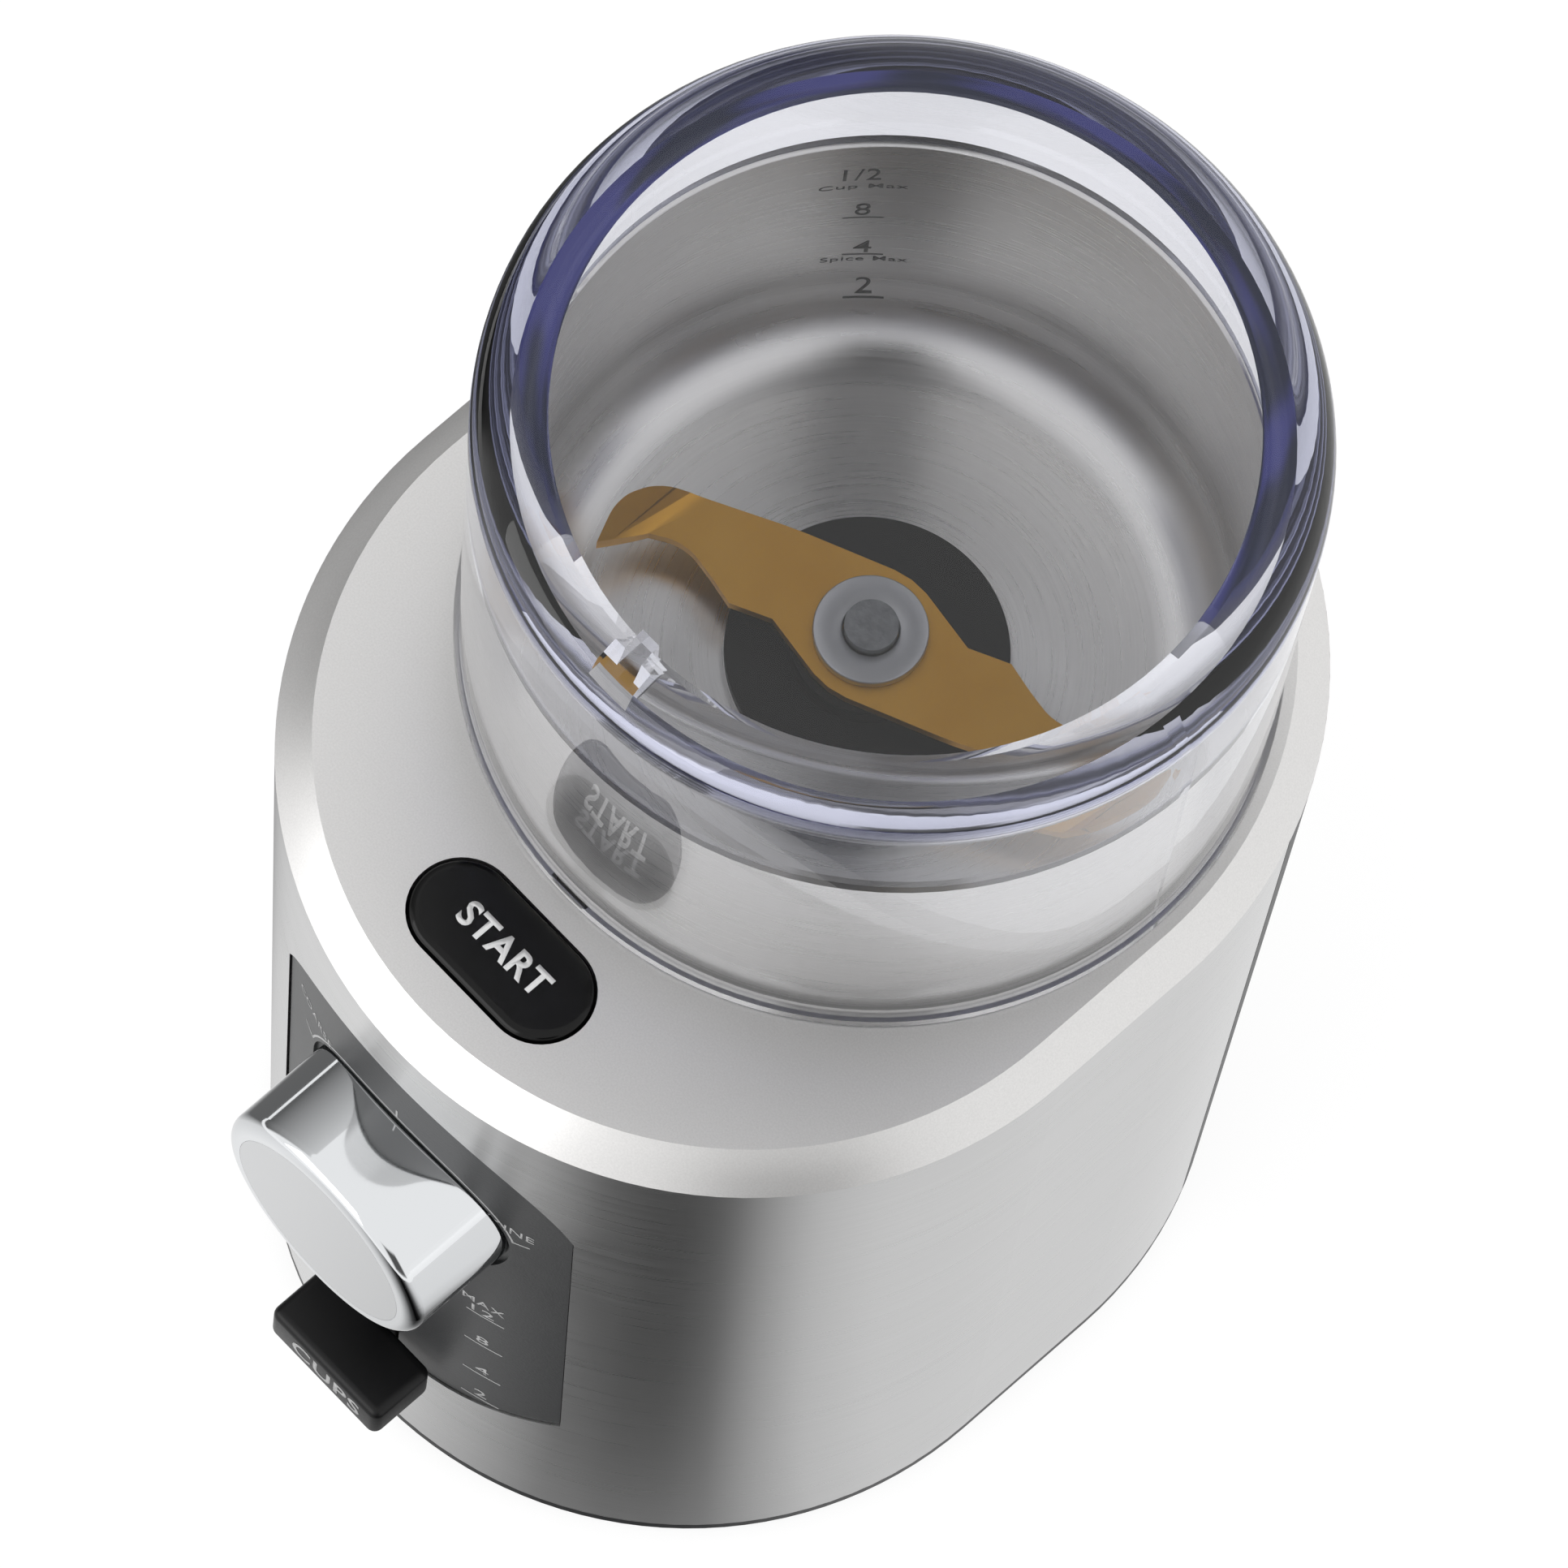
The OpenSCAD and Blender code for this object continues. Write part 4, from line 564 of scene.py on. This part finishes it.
start_word_above = (0.0003, -0.0443, 0.145)
facing_up = (0, 0, 0)
ink_film(flat_word("START", 14.2, 3.6, 0.028), "start_word", white_ink, "start", "start_button",
         start_word_above, facing_up)

# Control panel: dark grey ABS, moulded with a fine eroded texture, that clips into the wrap's window. The
# texture scatters light, so it looks paler where it leans away. Its marks are pad-printed in light grey.
panel_plastic = new_finish("textured dark grey ABS")
place = add_node(panel_plastic, "ShaderNodeTexCoord").outputs["Object"]
# Texture grains of 0.33 mm
grains = add_node(panel_plastic, "ShaderNodeTexNoise", {}, {"Vector": place, "Scale": 3000, "Detail": 2})
tint = add_node(panel_plastic, "ShaderNodeMix", {"data_type": "RGBA"}, {
    0: grains.outputs[0], 6: linear("#2c2d2e"), 7: linear("#3b3c3d")})
bump = add_node(panel_plastic, "ShaderNodeBump", {}, {
    "Strength": 0.4, "Distance": 0.0001, "Height": grains.outputs[0]})
skin = add_node(panel_plastic, "ShaderNodeBsdfPrincipled", {}, {
    "Base Color": tint.outputs[2], "Roughness": 0.42, "IOR": 1.53, "Normal": bump.outputs[0]})
add_node(panel_plastic, "ShaderNodeOutputMaterial", {}, {"Surface": skin.outputs[0]})
dress(panel_plastic, "control_panel")
grey_ink = new_finish("light grey pad-printing ink")
place = add_node(grey_ink, "ShaderNodeTexCoord").outputs["Object"]
# Uneven cover in specks of 0.4 mm
cover = add_node(grey_ink, "ShaderNodeTexNoise", {}, {"Vector": place, "Scale": 2500, "Detail": 2})
tint = add_node(grey_ink, "ShaderNodeMix", {"data_type": "RGBA"}, {
    0: cover.outputs[0], 6: linear("#a9a9a9"), 7: linear("#c2c2c2")})
skin = add_node(grey_ink, "ShaderNodeBsdfPrincipled", {}, {
    "Base Color": tint.outputs[2], "Roughness": 0.5, "IOR": 1.5})
add_node(grey_ink, "ShaderNodeOutputMaterial", {}, {"Surface": skin.outputs[0]})
# Marks start upright in front of the panel and are laid back on it. Each word has its middle, width and
# height in mm. Each number of cups has a rule under it: a square of 1 mm, scaled to its size in mm.
ahead_y = -0.075
facing_front = (90, 0, 0)
panel_words = (
    ("COARSE", -17.4, 105.0, 8.4, 1.9), ("FINE", 17.9, 100.2, 5.2, 1.9), ("MAX", 14.6, 67.2, 5.8, 1.9),
    ("12", 14.6, 64.3, 3.1, 2.1), ("8", 14.8, 53.6, 1.7, 2.2), ("4", 15.0, 42.2, 1.8, 2.2),
    ("2", 15.0, 32.9, 1.7, 2.2))
rule_x = 0.01495
rule_long = 5.2
rule_thick = 0.25
for word, x, z, width, tall in panel_words:
    ink_film(flat_word(word, width, tall, 0.004), "panel_word_" + word.lower(), grey_ink,
             "housing", "control_panel", (x / 1000, ahead_y, z / 1000), facing_front)
for number, z in (("12", 62.6), ("8", 51.6), ("4", 40.2), ("2", 30.9)):
    bpy.ops.mesh.primitive_grid_add(x_subdivisions=6, y_subdivisions=1, size=0.001)
    rule = bpy.context.object
    rule.scale = (rule_long, rule_thick, 1)
    bpy.ops.object.transform_apply(location=True, rotation=True, scale=True)
    ink_film(rule, "panel_rule_" + number, grey_ink, "housing", "control_panel",
             (rule_x, ahead_y, z / 1000), facing_front)
# Arc round the knob from coarse to fine, with a tick outwards at each end and in the middle
arc_r = 0.01815
arc_widen = 1.016
arc_low = 13
tick_r = 0.0194
tick_long = 2.2
tick_thick = 0.3
knob_middle = (0, ahead_y, 0.0923)
bpy.ops.mesh.primitive_circle_add(vertices=120, radius=arc_r, fill_type="NOTHING", location=(0, 0, 0))
arc = bpy.context.object
bpy.ops.object.mode_set(mode="EDIT")
bpy.ops.mesh.select_mode(type="EDGE")
bpy.ops.mesh.select_all(action="SELECT")
bpy.ops.mesh.extrude_edges_move()
bpy.ops.transform.resize(value=(arc_widen, arc_widen, 1), center_override=(0, 0, 0))
bpy.ops.object.mode_set(mode="OBJECT")
keep_faces(arc, lambda at: math.atan2(at.y, abs(at.x)) > math.radians(arc_low))
bpy.ops.object.mode_set(mode="EDIT")
bpy.ops.mesh.select_all(action="SELECT")
bpy.ops.mesh.normals_make_consistent(inside=False)
bpy.ops.object.mode_set(mode="OBJECT")
ink_film(arc, "panel_arc", grey_ink, "housing", "control_panel", knob_middle, facing_front)
for angle in (arc_low, 90, 180 - arc_low):
    turn = math.radians(angle)
    bpy.ops.mesh.primitive_grid_add(x_subdivisions=3, y_subdivisions=1, size=0.001)
    tick = bpy.context.object
    tick.scale = (tick_long, tick_thick, 1)
    tick.rotation_euler = (0, 0, turn)
    tick.location = (tick_r * math.cos(turn), tick_r * math.sin(turn), 0)
    bpy.ops.object.transform_apply(location=True, rotation=True, scale=True)
    ink_film(tick, "panel_tick_%d" % angle, grey_ink, "housing", "control_panel", knob_middle, facing_front)

# Grind knob: ABS plated in bright chrome, a mirror with faint smears, pushed on the potentiometer's shaft.
# A disc of satin aluminium, which blurs what it mirrors, is glued into its face.
chrome = new_finish("bright chrome plate")
place = add_node(chrome, "ShaderNodeTexCoord").outputs["Object"]
# Smears of about 4.5 mm
smears = add_node(chrome, "ShaderNodeTexNoise", {}, {"Vector": place, "Scale": 220, "Detail": 3})
sheen = add_node(chrome, "ShaderNodeMapRange", {}, {
    "Value": smears.outputs[0], "To Min": 0.03, "To Max": 0.09})
skin = add_node(chrome, "ShaderNodeBsdfPrincipled", {}, {
    "Base Color": linear("#e3e5e7"), "Metallic": 1.0, "Roughness": sheen.outputs[0]})
add_node(chrome, "ShaderNodeOutputMaterial", {}, {"Surface": skin.outputs[0]})
dress(chrome, "knob_body")
satin = new_finish("satin aluminium disc")
place = add_node(satin, "ShaderNodeTexCoord").outputs["Object"]
# Fine pits of 0.2 mm, drawn coarser than real so that they show
pits = add_node(satin, "ShaderNodeTexNoise", {}, {"Vector": place, "Scale": 5000, "Detail": 1})
sheen = add_node(satin, "ShaderNodeMapRange", {}, {"Value": pits.outputs[0], "To Min": 0.28, "To Max": 0.4})
skin = add_node(satin, "ShaderNodeBsdfPrincipled", {}, {
    "Base Color": linear("#d9dadb"), "Metallic": 1.0, "Roughness": sheen.outputs[0]})
add_node(satin, "ShaderNodeOutputMaterial", {}, {"Surface": skin.outputs[0]})
dress(satin, "knob_face")

# Cups slider: a handle moulded in satin black ABS, on a thin neck that runs in the panel's slot.
# Its corners are rounded for the finger, and its front carries the word in light grey ink.
slider_black = new_finish("satin black ABS")
place = add_node(slider_black, "ShaderNodeTexCoord").outputs["Object"]
# Texture grains of 0.4 mm
grains = add_node(slider_black, "ShaderNodeTexNoise", {}, {"Vector": place, "Scale": 2500, "Detail": 2})
sheen = add_node(slider_black, "ShaderNodeMapRange", {}, {
    "Value": grains.outputs[0], "To Min": 0.3, "To Max": 0.42})
skin = add_node(slider_black, "ShaderNodeBsdfPrincipled", {}, {
    "Base Color": linear("#0e0e0f"), "Roughness": sheen.outputs[0], "IOR": 1.35})
add_node(slider_black, "ShaderNodeOutputMaterial", {}, {"Surface": skin.outputs[0]})
handle_middle = (0, -0.0637, 0.033)
handle_size = (0.0194, 0.0096, 0.007)
handle_round = 0.0013
neck_middle = (0, -0.05735, 0.033)
neck_size = (0.004, 0.0055, 0.005)
neck_round = 0.0004
cups_word_ahead = (0.0007, -0.072, 0.0332)
bpy.ops.mesh.primitive_cube_add(size=1, location=handle_middle, scale=handle_size)
handle = bpy.context.object
handle.name = "cups_handle"
bpy.ops.object.transform_apply(location=True, rotation=True, scale=True)
bpy.ops.object.mode_set(mode="EDIT")
bpy.ops.mesh.select_all(action="SELECT")
bpy.ops.mesh.bevel(offset=handle_round, segments=6, affect="EDGES")
bpy.ops.mesh.select_all(action="DESELECT")
bpy.ops.mesh.primitive_cube_add(size=1, location=neck_middle, scale=neck_size)
bpy.ops.mesh.bevel(offset=neck_round, segments=2, affect="EDGES")
bpy.ops.object.mode_set(mode="OBJECT")
bpy.ops.object.shade_smooth_by_angle(angle=math.radians(35))
handle.data.materials.append(slider_black)
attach(handle, "cups")
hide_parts("cups_lever")
bpy.ops.object.select_all(action="DESELECT")
ink_film(flat_word("CUPS", 12.2, 3.3, 0.02), "cups_word", grey_ink, "cups", "cups_lever",
         cups_word_ahead, facing_front)
dress(slider_black, "cups_lever")

# Grinding bowl: deep-drawn stainless steel, turned on a lathe with abrasive, so fine rings run round
# its wall and floor and every reflection is smeared towards the rim. Its marks are etched dark.
bowl_steel = new_finish("turned stainless steel")
place = add_node(bowl_steel, "ShaderNodeTexCoord").outputs["Object"]
centred = add_node(bowl_steel, "ShaderNodeMapping", {}, {"Vector": place, "Location": (0, -axis_y, 0)})
split = add_node(bowl_steel, "ShaderNodeSeparateXYZ", {}, {0: centred.outputs[0]})
level_part = add_node(bowl_steel, "ShaderNodeVectorMath", {"operation": "MULTIPLY"}, {
    0: centred.outputs[0], 1: (1, 1, 0)})
radius = add_node(bowl_steel, "ShaderNodeVectorMath", {"operation": "LENGTH"}, {0: level_part.outputs[0]})
profile = add_node(bowl_steel, "ShaderNodeMath", {"operation": "SUBTRACT"}, {
    0: radius.outputs["Value"], 1: split.outputs[2]})
# Rings 0.3 mm apart, broken every 22 mm or so round the bowl, drawn coarser than real so that they show
rings = add_node(bowl_steel, "ShaderNodeMath", {"operation": "MULTIPLY"}, {0: profile.outputs[0], 1: 3300})
slow = add_node(bowl_steel, "ShaderNodeVectorMath", {"operation": "SCALE"}, {0: level_part.outputs[0], 3: 45})
slow_split = add_node(bowl_steel, "ShaderNodeSeparateXYZ", {}, {0: slow.outputs[0]})
where = add_node(bowl_steel, "ShaderNodeCombineXYZ", {}, {
    0: rings.outputs[0], 1: slow_split.outputs[0], 2: slow_split.outputs[1]})
scratches = add_node(bowl_steel, "ShaderNodeTexNoise", {}, {
    "Vector": where.outputs[0], "Scale": 1.0, "Detail": 3})
tint = add_node(bowl_steel, "ShaderNodeMix", {"data_type": "RGBA"}, {
    0: scratches.outputs[0], 6: linear("#d3d2d0"), 7: linear("#e9e8e6")})
sheen = add_node(bowl_steel, "ShaderNodeMapRange", {}, {
    "Value": scratches.outputs[0], "To Min": 0.22, "To Max": 0.36})
grain = add_node(bowl_steel, "ShaderNodeTangent", {"direction_type": "RADIAL", "axis": "Z"})
bump = add_node(bowl_steel, "ShaderNodeBump", {}, {
    "Strength": 0.07, "Distance": 0.00002, "Height": scratches.outputs[0]})
skin = add_node(bowl_steel, "ShaderNodeBsdfPrincipled", {}, {
    "Base Color": tint.outputs[2], "Metallic": 1.0, "Roughness": sheen.outputs[0], "Anisotropic": 0.8,
    "Anisotropic Rotation": 0.25, "Tangent": grain.outputs[0], "Normal": bump.outputs[0]})
add_node(bowl_steel, "ShaderNodeOutputMaterial", {}, {"Surface": skin.outputs[0]})
dress(bowl_steel, "grinding_bowl")
etch = new_finish("dark etched steel")
place = add_node(etch, "ShaderNodeTexCoord").outputs["Object"]
# Wear in specks of about 0.6 mm
wear = add_node(etch, "ShaderNodeTexNoise", {}, {"Vector": place, "Scale": 1800, "Detail": 3})
tint = add_node(etch, "ShaderNodeMix", {"data_type": "RGBA"}, {
    0: wear.outputs[0], 6: linear("#3c3c3c"), 7: linear("#5e5e5e")})
skin = add_node(etch, "ShaderNodeBsdfPrincipled", {}, {
    "Base Color": tint.outputs[2], "Metallic": 0.6, "Roughness": 0.5})
add_node(etch, "ShaderNodeOutputMaterial", {}, {"Surface": skin.outputs[0]})
# Marks start 5 mm inside the wall. Each word has its azimuth, height, width and letter height.
mark_start_r = 0.040
bowl_words = (
    ("1/2", -129.3, 175.2, 4.6, 3.4), ("Cup Max", -129.7, 171.5, 10.8, 1.7), ("8", -130.2, 164.5, 1.9, 3.6),
    ("4", -131.0, 152.9, 2.2, 3.6), ("Spice Max", -131.5, 149.0, 10.6, 1.7), ("2", -132.1, 141.4, 2.1, 3.6))
bowl_rule_long = 5.0
bowl_rule_thick = 0.3


def on_bowl(azimuth, height):
    """A place inside the bowl, before its wall, and the turn that faces marks to the middle."""
    angle = math.radians(azimuth)
    place = (mark_start_r * math.sin(angle), axis_y - mark_start_r * math.cos(angle), height / 1000)
    return place, (90, 0, azimuth + 180)


for word, azimuth, z, width, tall in bowl_words:
    place, turn = on_bowl(azimuth, z)
    name = "bowl_word_" + word.lower().replace("/", "_").replace(" ", "_")
    ink_film(flat_word(word, width, tall, 0.003), name, etch, "bowl", "grinding_bowl", place, turn)
for number, azimuth, z in (("8", -130.4, 162.0), ("4", -131.2, 150.5), ("2", -132.2, 139.0)):
    bpy.ops.mesh.primitive_grid_add(x_subdivisions=8, y_subdivisions=1, size=0.001)
    rule = bpy.context.object
    rule.scale = (bowl_rule_long, bowl_rule_thick, 1)
    bpy.ops.object.transform_apply(location=True, rotation=True, scale=True)
    place, turn = on_bowl(azimuth, z)
    ink_film(rule, "bowl_rule_" + number, etch, "bowl", "grinding_bowl", place, turn)

# Seal: a disc moulded in black silicone, pressed over the shaft's bush on the bowl's floor.
# Silicone is matt and deep black, with a trace of dust.
silicone = new_finish("matt black silicone")
place = add_node(silicone, "ShaderNodeTexCoord").outputs["Object"]
# Dust in specks of about 0.7 mm
dust = add_node(silicone, "ShaderNodeTexNoise", {}, {"Vector": place, "Scale": 1500, "Detail": 4})
tint = add_node(silicone, "ShaderNodeMix", {"data_type": "RGBA"}, {
    0: dust.outputs[0], 6: linear("#080808"), 7: linear("#101010")})
skin = add_node(silicone, "ShaderNodeBsdfPrincipled", {}, {
    "Base Color": tint.outputs[2], "Roughness": 0.55, "IOR": 1.3})
add_node(silicone, "ShaderNodeOutputMaterial", {}, {"Surface": skin.outputs[0]})
dress(silicone, "floor_seal")

# Blade: stamped stainless steel with a gold-coloured titanium nitride coat, its two ends bent up. The
# press leaves a round bend and a thin bright edge. The coat is satin, and goes from amber to a paler gold.
gold_coat = new_finish("titanium nitride coat")
place = add_node(gold_coat, "ShaderNodeTexCoord").outputs["Object"]
# Clouds of about 11 mm
cloud = add_node(gold_coat, "ShaderNodeTexNoise", {}, {"Vector": place, "Scale": 90, "Detail": 3})
tint = add_node(gold_coat, "ShaderNodeMix", {"data_type": "RGBA"}, {
    0: cloud.outputs[0], 6: linear("#dba032"), 7: linear("#e9b44a")})
# Rolling marks 0.3 mm apart along the strip, drawn coarser than real so that they show
strip_marks = add_node(gold_coat, "ShaderNodeMapping", {}, {"Vector": place, "Scale": (60, 3300, 3300)})
marks = add_node(gold_coat, "ShaderNodeTexNoise", {}, {
    "Vector": strip_marks.outputs[0], "Scale": 1.0, "Detail": 2})
sheen = add_node(gold_coat, "ShaderNodeMapRange", {}, {
    "Value": marks.outputs[0], "To Min": 0.38, "To Max": 0.50})
skin = add_node(gold_coat, "ShaderNodeBsdfPrincipled", {}, {
    "Base Color": tint.outputs[2], "Metallic": 0.85, "Roughness": sheen.outputs[0]})
add_node(gold_coat, "ShaderNodeOutputMaterial", {}, {"Surface": skin.outputs[0]})
dress(gold_coat, "blade")
strip = nodes["blade"].copy()
strip.data = nodes["blade"].data.copy()
bpy.context.scene.collection.objects.link(strip)
strip.name = "blade_strip"
strip.parent = None
bpy.context.view_layer.objects.active = strip
strip.select_set(True)
bpy.ops.object.mode_set(mode="EDIT")
bpy.ops.mesh.select_mode(type="VERT")
bpy.ops.mesh.select_all(action="SELECT")
bpy.ops.mesh.customdata_custom_splitnormals_clear()
bpy.ops.mesh.remove_doubles(threshold=0.00002)
bpy.ops.mesh.dissolve_limited(angle_limit=math.radians(2))
bpy.ops.object.mode_set(mode="OBJECT")
blade_under = Vector((0, axis_y, 0.1383))


def pick_edges(piece, wanted):
    """Selects the edges whose two ends, in mm from the middle of the blade's underside, are wanted."""
    bpy.ops.object.mode_set(mode="EDIT")
    bpy.ops.mesh.select_mode(type="EDGE")
    bpy.ops.mesh.select_all(action="DESELECT")
    bpy.ops.object.mode_set(mode="OBJECT")
    points = [(vertex.co - blade_under) * 1000 for vertex in piece.data.vertices]
    for edge in piece.data.edges:
        edge.select = wanted(points[edge.vertices[0]], points[edge.vertices[1]])
    bpy.ops.object.mode_set(mode="EDIT")


# The crease under each end, and the one above it, are level lines 27 to 28.5 mm out that lie within the
# strip's thickness, in mm. They become a round bend.
crease_in = 27
crease_out = 28.5
strip_top = 1.6
bend_round = 0.0024


def is_crease(one, other):
    level_line = abs(one.x - other.x) < 0.01 and abs(one.z - other.z) < 0.01
    return level_line and crease_in < abs(one.x) < crease_out and one.z < strip_top


pick_edges(strip, is_crease)
bpy.ops.mesh.bevel(offset=bend_round, segments=6, affect="EDGES")
bpy.ops.object.mode_set(mode="OBJECT")
# All upright corners of the outline are eased, but not the notches, the points of the arms and what lies
# at the hub. The corners that stay sharp are places in mm on one arm, and the other arm has them turned.
one_arm = ((14.24, 9.97), (9.23, 7.48), (30.01, 17.21), (29.9, 17.2))
sharp_corners = [Vector((side * x, side * y)) for side in (1, -1) for x, y in one_arm]
sharp_reach = 1.2
hub_r = 10.5
corner_round = 0.0022


def is_eased_corner(one, other):
    upright = (one - other).to_2d().length < 0.02
    if not upright or one.to_2d().length <= hub_r:
        return False
    return min((one.to_2d() - corner).length for corner in sharp_corners) > sharp_reach


pick_edges(strip, is_eased_corner)
bpy.ops.mesh.bevel(offset=corner_round, segments=5, affect="EDGES")
bpy.ops.object.mode_set(mode="OBJECT")
edge = strip.modifiers.new("edge", "BEVEL")
edge.width = 0.00012
edge.segments = 2
edge.limit_method = "ANGLE"
edge.angle_limit = math.radians(50)
bpy.ops.object.modifier_apply(modifier="edge")
bpy.ops.object.shade_smooth_by_angle(angle=math.radians(32))
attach(strip, "cutter")
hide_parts("blade")
bpy.ops.object.select_all(action="DESELECT")

# Washer and shaft: punched and turned stainless steel. The shaft's upper end is peened over the washer,
# so it is mottled and darker than the washer's ground face.
blank_steel = new_finish("punched stainless steel")
place = add_node(blank_steel, "ShaderNodeTexCoord").outputs["Object"]
# Pits of 0.4 mm
pits = add_node(blank_steel, "ShaderNodeTexNoise", {}, {"Vector": place, "Scale": 2500, "Detail": 2})
sheen = add_node(blank_steel, "ShaderNodeMapRange", {}, {
    "Value": pits.outputs[0], "To Min": 0.3, "To Max": 0.5})
skin = add_node(blank_steel, "ShaderNodeBsdfPrincipled", {}, {
    "Base Color": linear("#bcbdbf"), "Metallic": 1.0, "Roughness": sheen.outputs[0]})
add_node(blank_steel, "ShaderNodeOutputMaterial", {}, {"Surface": skin.outputs[0]})
dress(blank_steel, "blade_washer")
washer_hole_r = 0.0034
washer_r = 0.00705
washer_widen = washer_r / washer_hole_r
washer_middle = (0, axis_y, 0.1398)
washer_thick = 0.0015
bpy.ops.mesh.primitive_circle_add(
    vertices=96, radius=washer_hole_r, fill_type="NOTHING", location=washer_middle)
washer = bpy.context.object
washer.name = "washer_disc"
bpy.ops.object.mode_set(mode="EDIT")
bpy.ops.mesh.select_mode(type="EDGE")
bpy.ops.mesh.select_all(action="SELECT")
bpy.ops.mesh.extrude_edges_move()
bpy.ops.transform.resize(value=(washer_widen, washer_widen, 1), center_override=washer_middle)
bpy.ops.mesh.select_all(action="SELECT")
bpy.ops.mesh.normals_make_consistent(inside=False)
bpy.ops.object.mode_set(mode="OBJECT")
bpy.ops.object.transform_apply(location=True, rotation=True, scale=True)
if washer.data.polygons[0].normal.z < 0:
    washer.data.flip_normals()
wall = washer.modifiers.new("wall", "SOLIDIFY")
wall.thickness = washer_thick
wall.offset = 1
bpy.ops.object.modifier_apply(modifier="wall")
edge = washer.modifiers.new("edge", "BEVEL")
edge.width = 0.00025
edge.segments = 3
edge.limit_method = "ANGLE"
edge.angle_limit = math.radians(50)
bpy.ops.object.modifier_apply(modifier="edge")
bpy.ops.object.shade_smooth_by_angle(angle=math.radians(30))
washer.data.materials.append(blank_steel)
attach(washer, "cutter")
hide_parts("blade_washer")
bpy.ops.object.select_all(action="DESELECT")
peened_steel = new_finish("peened stainless steel")
place = add_node(peened_steel, "ShaderNodeTexCoord").outputs["Object"]
# Dents of about 1 mm
dents = add_node(peened_steel, "ShaderNodeTexNoise", {}, {"Vector": place, "Scale": 900, "Detail": 3})
tint = add_node(peened_steel, "ShaderNodeMix", {"data_type": "RGBA"}, {
    0: dents.outputs[0], 6: linear("#6f7172"), 7: linear("#a6a8aa")})
bump = add_node(peened_steel, "ShaderNodeBump", {}, {
    "Strength": 0.5, "Distance": 0.0003, "Height": dents.outputs[0]})
skin = add_node(peened_steel, "ShaderNodeBsdfPrincipled", {}, {
    "Base Color": tint.outputs[2], "Metallic": 1.0, "Roughness": 0.45, "Normal": bump.outputs[0]})
add_node(peened_steel, "ShaderNodeOutputMaterial", {}, {"Surface": skin.outputs[0]})
dress(peened_steel, "blade_shaft")

# Lid: clear styrene-acrylonitrile, injection moulded in one piece and polished. The flat window is thin,
# so it looks clear, and the thick wall under its edge shows the plastic's own blue.
clear_plastic = new_finish("clear blue-tinted SAN")
skin = add_node(clear_plastic, "ShaderNodeBsdfPrincipled", {}, {
    "Base Color": [1, 1, 1, 1], "Roughness": 0.0, "IOR": 1.5, "Transmission Weight": 1.0})
depth = add_node(clear_plastic, "ShaderNodeVolumeAbsorption", {}, {"Color": linear("#949dd0"), "Density": 22})
add_node(clear_plastic, "ShaderNodeOutputMaterial", {}, {
    "Surface": skin.outputs[0], "Volume": depth.outputs[0]})
dress(clear_plastic, "lid")
